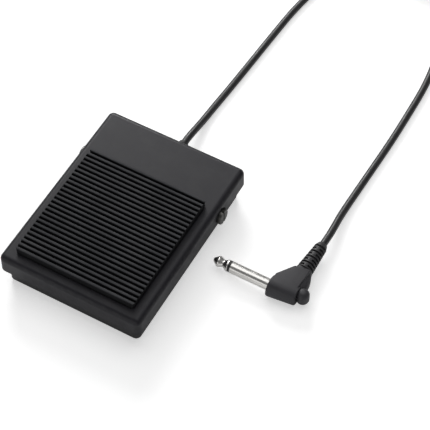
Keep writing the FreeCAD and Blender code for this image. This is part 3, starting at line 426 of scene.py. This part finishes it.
plunger_plastic = moulded_plastic("plunger_plastic", (0.33, 0.020, 0.014), (0.42, 0.028, 0.020),
                                  (0.5, 0.1, 0.08), 0.38, grain=0.15, bump=0.003)
clamp_plastic = moulded_plastic("clamp_plastic", (0.030, 0.030, 0.032), (0.040, 0.040, 0.042),
                                (0.08, 0.08, 0.08), 0.5, grain=0.3, bump=0.008)
bush_nylon = moulded_plastic("bush_nylon", (0.60, 0.58, 0.52), (0.70, 0.68, 0.62),
                             (0.75, 0.74, 0.70), 0.38, grain=0.4, bump=0.004)
white_wire = moulded_plastic("white_wire", (0.62, 0.61, 0.58), (0.72, 0.71, 0.68),
                             (0.8, 0.8, 0.78), 0.4, grain=0.4, bump=0.003)
red_wire = moulded_plastic("red_wire", (0.38, 0.020, 0.016), (0.46, 0.030, 0.024),
                           (0.5, 0.1, 0.09), 0.4, grain=0.4, bump=0.003)
insulator_plastic = moulded_plastic("insulator_plastic", (0.014, 0.014, 0.014), (0.020, 0.020, 0.020),
                                    (0.04, 0.04, 0.04), 0.30, grain=0.2, bump=0.002)
nickel_plate = metal("nickel_plate", (0.86, 0.845, 0.82), 0.22, line_axis=0)
screw_steel = metal("screw_steel", (0.12, 0.118, 0.112), 0.38, line_axis=0, line_size=0.1,
                    dull=(0.07, 0.068, 0.065), dullness=0.4)
plated_steel = metal("plated_steel", (0.66, 0.66, 0.65), 0.25, line_axis=2)
spring_steel = metal("spring_steel", (0.50, 0.50, 0.50), 0.28, line_axis=2, line_size=0.2)
insert_brass = metal("insert_brass", (0.68, 0.48, 0.20), 0.25, line_axis=0)


# Painted shade: the rubber below the rib crests takes these darker colours, standing for shade in the
# grooves and on the rib walls
rib_painted_shade_colours = ((0.0042, 0.0045, 0.0056), (0.0062, 0.0066, 0.0080))
rib_shade_to_crest_z = (25.5, 26.25)
rib_crest_colour = (0.0145, 0.0155, 0.0195)
rib_crest_polish = 0.26
mat_dustiness = 0.04


def mat_rubber_material():
    """Soft black rubber of the mat; below the rib crests it is painted darker as the shade in the grooves
    and on the rib walls, and the crests are a little paler where shoes polish them.
    """
    material, tree, shader = start_material("mat_rubber")
    surface = place_group(tree, grain_group, Grain_Size=0.45, Mottle_Size=16.0)
    split = add_node(tree, "ShaderNodeSeparateXYZ")
    tree.links.new(millimetre_coordinates(tree), split.inputs[0])
    # Painted shade below the crest heights, the crest colour above them
    crest_above_shade = ramp(tree, split.outputs["Z"], 0.0, 1.0, *rib_shade_to_crest_z)
    colour = blend_colours(tree, surface.outputs["Mottle"], *rib_painted_shade_colours)
    colour = blend_colours(tree, crest_above_shade, colour, rib_crest_colour)
    dust = place_group(tree, dust_group)
    dusty = calculate(tree, "MULTIPLY", dust.outputs["Dust"], mat_dustiness)
    colour = blend_colours(tree, dusty, colour, dust_colour)
    tree.links.new(colour, shader.inputs["Base Color"])
    rough = ramp(tree, surface.outputs["Mottle"], 0.82, 0.94, *mottle_span)
    rough = calculate(tree, "MULTIPLY_ADD", crest_above_shade, -rib_crest_polish, rough)
    tree.links.new(rough, shader.inputs["Roughness"])
    shader.inputs["Specular IOR Level"].default_value = 0.35
    add_bump(tree, shader, surface.outputs["Height"], 0.015)
    return material


def jacket_material():
    """Soft vinyl jacket of the cord, with faint rings from the extruder."""
    material, tree, shader = start_material("cord_jacket")
    surface = place_group(tree, grain_group, Grain_Size=0.5, Mottle_Size=20.0)
    colour = blend_colours(tree, surface.outputs["Mottle"], (0.017, 0.017, 0.0175), (0.025, 0.025, 0.026))
    tree.links.new(colour, shader.inputs["Base Color"])
    rough = ramp(tree, surface.outputs["Mottle"], 0.34, 0.44, *mottle_span)
    tree.links.new(rough, shader.inputs["Roughness"])
    add_bump(tree, shader, surface.outputs["Height"], 0.010)
    return material


def board_material():
    """Green lacquered circuit board with copper tracks showing through."""
    material, tree, shader = start_material("circuit_board")
    split = add_node(tree, "ShaderNodeSeparateXYZ")
    tree.links.new(millimetre_coordinates(tree), split.inputs[0])
    wave = calculate(tree, "SINE", calculate(tree, "MULTIPLY", split.outputs["X"], 1.9))
    tracks = ramp(tree, wave, 0.0, 1.0, 0.55, 0.62)
    fields = add_node(tree, "ShaderNodeTexVoronoi", feature="F1", distance="MANHATTAN")
    fields.inputs["Scale"].default_value = 0.16
    tree.links.new(millimetre_coordinates(tree), fields.inputs["Vector"])
    copper = calculate(tree, "MULTIPLY", tracks, ramp(tree, fields.outputs["Distance"], 0.0, 1.0, 0.3, 0.34))
    colour = blend_colours(tree, copper, (0.010, 0.075, 0.030), (0.030, 0.16, 0.055))
    tree.links.new(colour, shader.inputs["Base Color"])
    surface = place_group(tree, grain_group, Grain_Size=0.3, Mottle_Size=5.0)
    rough = ramp(tree, surface.outputs["Mottle"], 0.28, 0.38, *mottle_span)
    tree.links.new(rough, shader.inputs["Roughness"])
    add_bump(tree, shader, copper, 0.03)
    return material


mat_rubber = mat_rubber_material()
jacket_vinyl = jacket_material()
board_green = board_material()
cord.data.materials.append(jacket_vinyl)

node_materials = {
    "treadle_cover": treadle_plastic, "base_tray": tray_plastic, "tread_mat": mat_rubber,
    "rubber_feet": foot_rubber, "front_stop_pads": foot_rubber, "rear_stop_pads": foot_rubber,
    "return_spring": spring_steel, "circuit_board": board_green, "board_screws": plated_steel,
    "switch_case": switch_plastic, "switch_lid": lid_plastic, "switch_plunger": plunger_plastic,
    "switch_lever": spring_steel, "switch_terminals": plated_steel, "cord_clamp": clamp_plastic,
    "clamp_screws": plated_steel, "cord_bushing": bushing_rubber, "cord_tail": jacket_vinyl,
    "signal_wire": white_wire, "ground_wire": red_wire, "cord_pedal_run": jacket_vinyl,
    "cord_coil": jacket_vinyl, "cord_plug_run": jacket_vinyl, "plug_tip": nickel_plate,
    "plug_insulator": insulator_plastic, "plug_sleeve": nickel_plate, "plug_body": plug_plastic,
    "plug_strain_relief": relief_plastic, "pivot_screw_right": screw_steel, "pivot_screw_left": screw_steel,
    "pivot_washer_right": plated_steel, "pivot_washer_left": plated_steel, "pivot_bush_right": bush_nylon,
    "pivot_bush_left": bush_nylon, "pivot_insert_right": insert_brass, "pivot_insert_left": insert_brass,
}
for node_name, material in node_materials.items():
    node_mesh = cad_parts[node_name].data
    if not node_mesh.materials:
        node_mesh.materials.append(material)
    for index in range(len(node_mesh.materials)):
        node_mesh.materials[index] = material


# Shapes
def add_turned(bm, profile, origin, along, across, steps=64):
    """Round form: the profile's points are (distance along the axis, radius), in millimetres."""
    along, across = Vector(along), Vector(across)
    points = [Vector(origin) + along * distance + across * radius for distance, radius in profile]
    verts = [bm.verts.new(point * MM) for point in points]
    edges = [bm.edges.new(pair) for pair in zip(verts, verts[1:])]
    bmesh.ops.spin(bm, geom=verts + edges, cent=Vector(origin) * MM, axis=along, angle=2 * math.pi,
                   steps=steps, use_merge=True)
    bmesh.ops.remove_doubles(bm, verts=bm.verts, dist=1e-7)


def take_in(bm, part):
    """Adds a finished part to a mesh."""
    carried = bpy.data.meshes.new("part")
    part.to_mesh(carried)
    part.free()
    bm.from_mesh(carried)
    bpy.data.meshes.remove(carried)


def finish_piece(name, bm, material, body, stands_for, angle=35.0):
    """Object from the mesh, shaded smooth up to an angle, on its body and in place of a CAD node."""
    bmesh.ops.recalc_face_normals(bm, faces=bm.faces)
    for face in bm.faces:
        face.smooth = True
    for edge in bm.edges:
        edge.smooth = len(edge.link_faces) == 2 and edge.calc_face_angle(0.0) < math.radians(angle)
    mesh = bpy.data.meshes.new(name)
    bm.to_mesh(mesh)
    bm.free()
    mesh.materials.append(material)
    piece = bpy.data.objects.new(name, mesh)
    bpy.context.scene.collection.objects.link(piece)
    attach(piece, body)
    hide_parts(stands_for)
    return piece


# Ribbed mat, in millimetres
mat_half_width = 34.3
mat_front_y = -48.0
mat_rear_y = 24.0
mat_bottom_z = 21.3
mat_seat_z = 22.12
mat_pocket_rear_y = 22.0
mat_groove_z = 24.2
mat_top_z = 26.3
mat_corner = 0.8
mat_rib_count = 26
mat_rib_width = 1.52
mat_rib_round = 0.35
mat_round_steps = 4


def make_mat():
    """Mat with round-edged ribs across it: one rib's outline repeated, then drawn out to the width."""
    bm = bmesh.new()
    pitch = (mat_rear_y - mat_front_y - mat_rib_width) / (mat_rib_count - 1)
    # From the groove's floor up one side of a rib, over its rounded top and down again
    left, right = mat_front_y, mat_front_y + mat_rib_width
    outline = [(left, mat_groove_z), (left, mat_top_z - mat_rib_round)]
    for step in range(1, mat_round_steps):
        angle = math.pi / 2 * step / mat_round_steps
        outline.append((left + mat_rib_round * (1 - math.cos(angle)),
                        mat_top_z - mat_rib_round * (1 - math.sin(angle))))
    outline.append((left + mat_rib_round, mat_top_z))
    outline.append(((left + right) / 2, mat_top_z))
    outline.append((right - mat_rib_round, mat_top_z))
    for step in range(1, mat_round_steps):
        angle = math.pi / 2 * step / mat_round_steps
        outline.append((right - mat_rib_round * (1 - math.sin(angle)),
                        mat_top_z - mat_rib_round * (1 - math.cos(angle))))
    outline += [(right, mat_top_z - mat_rib_round), (right, mat_groove_z)]
    outline.append((left + pitch, mat_groove_z))
    rows = []
    for rib in range(mat_rib_count):
        points = outline if rib < mat_rib_count - 1 else outline[:-1]
        for y, z in points:
            place = (y + rib * pitch, z)
            if not rows or math.dist(rows[-1], place) > 1e-6:
                rows.append(place)
    # The last rib lies on the cover, behind the pocket
    rows = [(mat_front_y, mat_bottom_z)] + rows
    rows += [(mat_rear_y, mat_seat_z), (mat_pocket_rear_y, mat_seat_z), (mat_pocket_rear_y, mat_bottom_z)]
    verts = [bm.verts.new(Vector((-mat_half_width, y, z)) * MM) for y, z in rows]
    bm.faces.new(verts)
    bmesh.ops.triangulate(bm, faces=bm.faces, ngon_method="EAR_CLIP")
    made = bmesh.ops.extrude_face_region(bm, geom=bm.faces[:] + bm.edges[:] + bm.verts[:])
    moved = [item for item in made["geom"] if isinstance(item, bmesh.types.BMVert)]
    bmesh.ops.translate(bm, vec=Vector((2 * mat_half_width, 0, 0)) * MM, verts=moved)
    # The mat's round corners draw in the ends of the first and last ribs
    for vert in bm.verts:
        from_end = min(vert.co.y / MM - mat_front_y, mat_rear_y - vert.co.y / MM)
        if from_end < mat_corner:
            drawn_in = mat_corner - math.sqrt(mat_corner ** 2 - (mat_corner - max(from_end, 0.0)) ** 2)
            vert.co.x -= math.copysign(drawn_in * MM, vert.co.x)
    finish_piece("ribbed_mat", bm, mat_rubber, "treadle", "tread_mat", 50.0)


make_mat()


# Pivot screws, in millimetres
pivot_place = (27.3, 13.2)
screw_head_face_x = 43.0
screw_head_radius = 4.25
screw_head_height = 3.3
screw_head_round = 0.45
screw_head_under_round = 0.2
screw_slot_half = 0.42
screw_slot_depth = 1.5
screw_slot_lip = 0.12
screw_shank_radius = 3.0
screw_length = 10.9
# The two half heads reach a little way into the part below them, which is eased by a hair
screw_overlap = 0.1
screw_ease = 0.02
screw_steps = 72
sharp_angle = 1.2


def make_pivot_screw(side, name):
    """Slotted cheese-head screw; its slot is open at both sides of the head."""
    bm = bmesh.new()
    y, z = pivot_place
    face_x = side * screw_head_face_x
    floor_x = side * (screw_head_face_x - screw_slot_depth)
    inward = (-side, 0, 0)
    radius = screw_head_radius
    upper = [
        (0.0, 0.0), (0.0, radius - screw_head_round),
        (screw_head_round * 0.3, radius - screw_head_round * 0.3), (screw_head_round, radius),
        (screw_slot_depth, radius), (screw_slot_depth + screw_overlap, radius - screw_overlap),
        (screw_slot_depth + screw_overlap, 0.0),
    ]
    for half in (-1, 1):
        part = bmesh.new()
        add_turned(part, upper, (face_x, y, z), inward, (0, 0, 1), screw_steps)
        cut = bmesh.ops.bisect_plane(part, geom=part.verts[:] + part.edges[:] + part.faces[:],
                                     plane_co=(0, (y + half * screw_slot_half) * MM, 0),
                                     plane_no=(0, half, 0), clear_inner=True)
        rim = [item for item in cut["geom_cut"] if isinstance(item, bmesh.types.BMEdge)]
        bmesh.ops.holes_fill(part, edges=rim)
        # The slot's edges on the head's face are the sharp ones that lie in that face
        lip = [item for item in part.edges
               if len(item.link_faces) == 2 and item.calc_face_angle(0.0) > sharp_angle
               and abs(sum(vert.co.x for vert in item.verts) / 2 - face_x * MM) < 1e-6]
        bmesh.ops.bevel(part, geom=lip, offset=screw_slot_lip * MM, segments=2, profile=0.5,
                        affect="EDGES", material=-1)
        take_in(bm, part)
    under_head = screw_head_height - screw_slot_depth
    shank_end = screw_length - screw_slot_depth
    lower = [
        (0.0, 0.0), (0.0, radius - screw_ease), (screw_ease, radius),
        (under_head - screw_head_under_round, radius), (under_head, radius - screw_head_under_round),
        (under_head, screw_shank_radius), (shank_end, screw_shank_radius), (shank_end, 0.0),
    ]
    part = bmesh.new()
    add_turned(part, lower, (floor_x, y, z), inward, (0, 0, 1), screw_steps)
    take_in(bm, part)
    finish_piece(name, bm, screw_steel, "treadle", name.replace("slotted", "pivot"))


make_pivot_screw(1, "slotted_screw_right")
make_pivot_screw(-1, "slotted_screw_left")


# Return spring, in millimetres
spring_y = -24.0
spring_coil_radius = 4.9
spring_wire_radius = 0.6
spring_low_z = 5.85
# How far the wire rises over its first and last turns, and over the open turns between them
spring_end_rise = 1.25
spring_open_rise = 9.5
spring_open_turns = 4
spring_wire_sides = 12
spring_steps_per_turn = 28


def make_spring():
    """Round-wire compression spring with close end turns; the real one shortens as the treadle goes down."""
    bm = bmesh.new()
    ring = bmesh.ops.create_circle(bm, cap_ends=False, segments=spring_wire_sides,
                                   radius=spring_wire_radius * MM)["verts"]
    bmesh.ops.rotate(bm, matrix=Matrix.Rotation(math.pi / 2, 3, "X"), verts=ring)
    bmesh.ops.translate(bm, vec=Vector((spring_coil_radius, spring_y, spring_low_z)) * MM, verts=ring)
    wire = bm.verts[:] + bm.edges[:]
    runs = [(1, spring_end_rise), (spring_open_turns, spring_open_rise), (1, spring_end_rise)]
    for turns, rise in runs:
        steps = spring_steps_per_turn * turns
        made = bmesh.ops.spin(bm, geom=wire, cent=Vector((0, spring_y, 0)) * MM, axis=(0, 0, 1),
                              dvec=(0, 0, rise * MM / steps), angle=2 * math.pi * turns, steps=steps)
        wire = made["geom_last"]
    open_edges = [edge for edge in bm.edges if len(edge.link_faces) == 1]
    bmesh.ops.holes_fill(bm, edges=open_edges)
    spring = finish_piece("coil_spring", bm, spring_steel, "base", "return_spring", 50.0)
    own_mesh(spring)


make_spring()


# Plug, in millimetres
plug_tip_x = 48.7
plug_y = 6.5
plug_z = 6.2
plug_face_x = 81.1
plug_radius = 3.175
plug_smooth_angle = 40.0
plug_steps = 72
# Profiles from the tip along the plug's axis: (distance, radius)
plug_ring_start = 9.0
plug_sleeve_start = 10.3
plug_sleeve_end = plug_face_x - plug_tip_x + 1.0
tip_profile = [
    (0.0, 0.0), (0.03, 0.3), (0.12, 0.62), (0.3, 0.95), (0.7, 1.32), (2.6, 2.78), (2.85, 2.93),
    (3.1, 3.0), (3.4, 3.0), (3.65, 2.93), (3.9, 2.8), (5.2, 2.12), (5.6, 1.97), (6.0, 1.95),
    (6.35, 2.05), (7.6, 2.86), (8.0, 3.1), (8.25, 3.17), (8.85, plug_radius),
    (plug_ring_start, 3.05), (plug_ring_start, 0.0),
]
ring_profile = [
    (plug_ring_start, 0.0), (plug_ring_start, 2.98), (9.08, 3.05), (10.22, 3.05),
    (plug_sleeve_start, 2.98), (plug_sleeve_start, 0.0),
]
sleeve_profile = [
    (plug_sleeve_start, 0.0), (plug_sleeve_start, 3.06), (10.42, plug_radius),
    (plug_sleeve_end - 1.1, plug_radius), (plug_sleeve_end, plug_radius), (plug_sleeve_end, 0.0),
]


def make_plug_contact(name, profile, material, stands_for):
    """One turned part of the plug's finger."""
    bm = bmesh.new()
    add_turned(bm, profile, (plug_tip_x, plug_y, plug_z), (1, 0, 0), (0, 0, 1), plug_steps)
    finish_piece(name, bm, material, "base", stands_for, plug_smooth_angle)


make_plug_contact("nickel_tip", tip_profile, nickel_plate, "plug_tip")
make_plug_contact("insulating_ring", ring_profile, insulator_plastic, "plug_insulator")
make_plug_contact("nickel_sleeve", sleeve_profile, nickel_plate, "plug_sleeve")

barrel_length = 15.5
barrel_radius = 5.95
barrel_end_radius = 5.2
barrel_rounds = (0.9, 0.5)
barrel_lean = 0.9
barrel_steps = 96
neck_x = 92.35
neck_end_y = 22.4
cord_end_x = 93.3
neck_sides = 64
# A power under 1 makes the neck's sections squarer than ellipses
neck_squareness = 0.55
# Each section of the neck is (y, left, right, height)
neck_sections = [
    (7.5, 82.6, 96.9, 8.6), (10.5, 83.4, 98.3, 8.4), (13.3, 84.4, 99.0, 8.2), (16.2, 86.2, 98.75, 8.0),
    (18.7, 87.7, 98.1, 7.8), (20.2, 88.0, 97.5, 7.7), (21.2, 88.1, 97.1, 7.6), (22.4, 88.1, 96.75, 7.6),
]
pad_outline = [(82.0, 6.5), (82.0, 11.0), (88.2, 20.0), (96.4, 21.2), (95.5, 6.5)]
pad_round = 0.5
boss_place = (98.9, 8.4)
boss_radius = 3.45
boss_height = 9.2
boss_round = 3.0
relief_length = 19.2
relief_root_radius = 4.55
relief_tip_radius = 3.4
relief_shoulder = 2.6
relief_end_radius = 2.4
relief_slot_rows = 8
relief_slot_width = 1.05
relief_slot_depth = 1.1
relief_slot_start = 0.8
relief_bridge_width = 2.2
relief_end_ring = 3.0
relief_root_round = 0.3
relief_shoulder_round = 1.6
relief_end_round = 0.5
relief_lip = 0.14
relief_wall = 0.06
relief_steps = 120


def rounded_profile(points, rounds, steps=5):
    """The profile with its given corners rounded; rounds maps a point's index to a radius."""
    result = []
    for index, point in enumerate(points):
        if index not in rounds:
            result.append(point)
            continue
        corner = Vector(point)
        before = (Vector(points[index - 1]) - corner).normalized()
        after = (Vector(points[index + 1]) - corner).normalized()
        half = before.angle(after) / 2
        reach = rounds[index] / math.tan(half)
        centre = corner + (before + after).normalized() * rounds[index] / math.sin(half)
        start, end = corner + before * reach - centre, corner + after * reach - centre
        for step in range(steps + 1):
            heading = start.lerp(end, step / steps).normalized()
            result.append(tuple(centre + heading * rounds[index]))
    return result


def add_barrel(bm):
    """Tapered barrel with rounded ends; it leans back a little towards its far end."""
    part = bmesh.new()
    corners = [(0.0, 0.0), (0.0, barrel_radius), (barrel_length, barrel_end_radius), (barrel_length, 0.0)]
    profile = rounded_profile(corners, {1: barrel_rounds[0], 2: barrel_rounds[1]})
    add_turned(part, profile, (plug_face_x, plug_y, plug_z), (1, 0, 0), (0, 0, 1), barrel_steps)
    lean = Matrix.Identity(4)
    lean[1][0] = barrel_lean / barrel_length
    lean[1][3] = -lean[1][0] * plug_face_x * MM
    bmesh.ops.transform(part, matrix=lean, verts=part.verts)
    take_in(bm, part)


def add_pad(bm):
    """Flat pad in the plane that touches the barrel's top line, with rounded edges."""
    part = bmesh.new()
    verts = [part.verts.new(Vector((x, y, plug_z)) * MM) for x, y in pad_outline]
    base_face = part.faces.new(verts)
    made = bmesh.ops.extrude_face_region(part, geom=[base_face])
    top = [item for item in made["geom"] if isinstance(item, bmesh.types.BMVert)]
    # The pad's top slopes with the barrel's top line
    slope = (barrel_radius - barrel_end_radius) / barrel_length
    for vert in top:
        vert.co.z = (plug_z + barrel_radius - slope * (vert.co.x / MM - plug_face_x)) * MM
    # All edges are rounded but those on the pad's underside and those inside the barrel
    rounded = [edge for edge in part.edges
               if max(vert.co.z for vert in edge.verts) > (plug_z + 1) * MM
               and max(vert.co.y for vert in edge.verts) > (plug_y + 1) * MM]
    bmesh.ops.bevel(part, geom=rounded, offset=pad_round * MM, segments=4, profile=0.5,
                    affect="EDGES", material=-1)
    take_in(bm, part)


def add_neck(bm):
    """Body under the pad, bridged between its sections and drawn in towards the cord."""
    part = bmesh.new()
    rings = []
    for y, left, right, height in neck_sections:
        made = bmesh.ops.create_circle(part, cap_ends=False, segments=neck_sides, radius=1.0)
        for vert in made["verts"]:
            across = math.copysign(abs(vert.co.x) ** neck_squareness, vert.co.x)
            up = math.copysign(abs(vert.co.y) ** neck_squareness, vert.co.y)
            vert.co = Vector(((left + right) / 2 + across * (right - left) / 2, y,
                              plug_z + up * height / 2)) * MM
        rings.append([edge for edge in part.edges if all(vert in made["verts"] for vert in edge.verts)])
    for near, far in zip(rings, rings[1:]):
        bmesh.ops.bridge_loops(part, edges=near + far)
    bmesh.ops.holes_fill(part, edges=rings[0])
    bmesh.ops.holes_fill(part, edges=rings[-1])
    take_in(bm, part)


def add_boss(bm):
    """Rounded upright boss at the body's far corner."""
    part = bmesh.new()
    corners = [(0.0, 0.0), (0.0, boss_radius), (boss_height, boss_radius), (boss_height, 0.0)]
    profile = rounded_profile(corners, {1: boss_round, 2: boss_round}, 8)
    add_turned(part, profile, (*boss_place, plug_z - boss_height / 2), (0, 0, 1), (1, 0, 0))
    take_in(bm, part)


def make_plug_body():
    """Moulded right-angle body."""
    bm = bmesh.new()
    add_barrel(bm)
    add_neck(bm)
    add_pad(bm)
    add_boss(bm)
    finish_piece("moulded_plug", bm, plug_plastic, "base", "plug_body", plug_smooth_angle)


make_plug_body()


def relief_radius(along):
    """Outer radius of the relief at a distance from its root."""
    share = min(along / (relief_length - relief_shoulder), 1.0)
    return relief_root_radius + (relief_tip_radius - relief_root_radius) * share


def make_relief():
    """Strain relief ringed by grooves; two bridges cross each, by turns above and at the sides."""
    span = relief_length - relief_slot_start - relief_end_ring - relief_slot_width
    pitch = span / (relief_slot_rows - 1)
    round_middle = 0.3 * relief_root_round
    profile = [
        (0.0, 0.0), (0.0, relief_root_radius - relief_root_round),
        (0.08, relief_root_radius - round_middle), (relief_root_round, relief_radius(relief_root_round)),
    ]
    grooves = []
    for row in range(relief_slot_rows):
        near = relief_slot_start + row * pitch
        far = near + relief_slot_width
        for along in (near - relief_lip, near, near + relief_wall,
                      far - relief_wall, far, far + relief_lip):
            inset = relief_wall if along in (near, far) else 0.0
            profile.append((along, relief_radius(along) - inset))
        floor_radius = relief_radius(near) - relief_slot_depth
        grooves.append((near + relief_wall / 2, far - relief_wall / 2, floor_radius, row % 2))
    end = relief_length
    shoulder_start = end - relief_shoulder
    shoulder = [(shoulder_start - 1.0, relief_radius(shoulder_start - 1.0)),
                (shoulder_start, relief_tip_radius), (end, relief_end_radius), (end, 0.0)]
    profile += rounded_profile(shoulder, {1: relief_shoulder_round, 2: relief_end_round})
    bm = bmesh.new()
    add_turned(bm, profile, (0, 0, 0), (0, 1, 0), (1, 0, 0), relief_steps)
    # Each groove is pressed down to its floor, apart from its two bridges
    for vert in bm.verts:
        along = vert.co.y / MM
        for low, high, floor_radius, beside in grooves:
            if not low < along < high:
                continue
            from_bridge = abs(vert.co.z if beside else vert.co.x) / MM
            if from_bridge > relief_bridge_width / 2:
                out = math.hypot(vert.co.x, vert.co.z) / MM
                vert.co.x *= floor_radius / out
                vert.co.z *= floor_radius / out
    lean = Matrix.Rotation(-math.atan2(cord_end_x - neck_x, relief_length), 4, "Z")
    place = Matrix.Translation(Vector((neck_x, neck_end_y, plug_z)) * MM)
    bmesh.ops.transform(bm, matrix=place @ lean, verts=bm.verts)
    finish_piece("slotted_relief", bm, relief_plastic, "base", "plug_strain_relief")


make_relief()


# Floor and light
floor_half_size = 4.0
floor_seen_lift = 0.50
floor_mirrored_lift = 0.08
world_strength = 0.16


def floor_material():
    """Matte white; the camera sees it a little brighter than it lights the object."""
    material, tree, shader = start_material("floor_white")
    shader.inputs["Base Color"].default_value = (0.93, 0.93, 0.93, 1.0)
    shader.inputs["Roughness"].default_value = 0.9
    shader.inputs["Specular IOR Level"].default_value = 0.1
    shader.inputs["Emission Color"].default_value = (1.0, 1.0, 1.0, 1.0)
    rays = add_node(tree, "ShaderNodeLightPath")
    mirrored = calculate(tree, "MULTIPLY", rays.outputs["Is Glossy Ray"], floor_mirrored_lift)
    lifted = calculate(tree, "MULTIPLY_ADD", rays.outputs["Is Camera Ray"], floor_seen_lift, mirrored)
    tree.links.new(lifted, shader.inputs["Emission Strength"])
    return material


def make_floor():
    """Plain white floor under the object."""
    bm = bmesh.new()
    bmesh.ops.create_grid(bm, x_segments=1, y_segments=1, size=floor_half_size)
    mesh = bpy.data.meshes.new("floor")
    bm.to_mesh(mesh)
    bm.free()
    mesh.materials.append(floor_material())
    floor = bpy.data.objects.new("floor", mesh)
    bpy.context.scene.collection.objects.link(floor)


make_floor()


def make_area_light(name, place, target, size, power):
    """Soft rectangular lamp that looks at a target."""
    lamp = bpy.data.lights.new(name, "AREA")
    lamp.shape = "RECTANGLE"
    lamp.size = size[0]
    lamp.size_y = size[1]
    lamp.energy = power
    lamp_object = bpy.data.objects.new(name, lamp)
    bpy.context.scene.collection.objects.link(lamp_object)
    lamp_object.location = place
    direction = Vector(target) - Vector(place)
    lamp_object.rotation_mode = "QUATERNION"
    lamp_object.rotation_quaternion = direction.to_track_quat("-Z", "Y")


make_area_light("rear_light", (-0.66, 0.86, 0.66), (0.0, 0.02, 0.0), (0.55, 0.40), 8.5)
make_area_light("top_light", (-0.15, 0.30, 1.20), (-0.15, 0.30, 0.0), (1.50, 1.10), 5.5)
make_area_light("front_light", (-0.20, -1.40, 0.42), (0.0, 0.0, 0.05), (2.20, 0.70), 3.4)


def make_world():
    """Even pale surroundings, white where the camera looks past the floor."""
    world = bpy.data.worlds.new("studio")
    bpy.context.scene.world = world
    world.use_nodes = True
    background = world.node_tree.nodes["Background"]
    background.inputs["Color"].default_value = (1.0, 1.0, 1.0, 1.0)
    rays = add_node(world.node_tree, "ShaderNodeLightPath")
    strength = calculate(world.node_tree, "MULTIPLY_ADD", rays.outputs["Is Camera Ray"],
                         1.0 - world_strength, world_strength)
    world.node_tree.links.new(strength, background.inputs["Strength"])


make_world()
bpy.context.scene.view_settings.view_transform = "Standard"


# Scene brought up to date
bpy.context.view_layer.update()
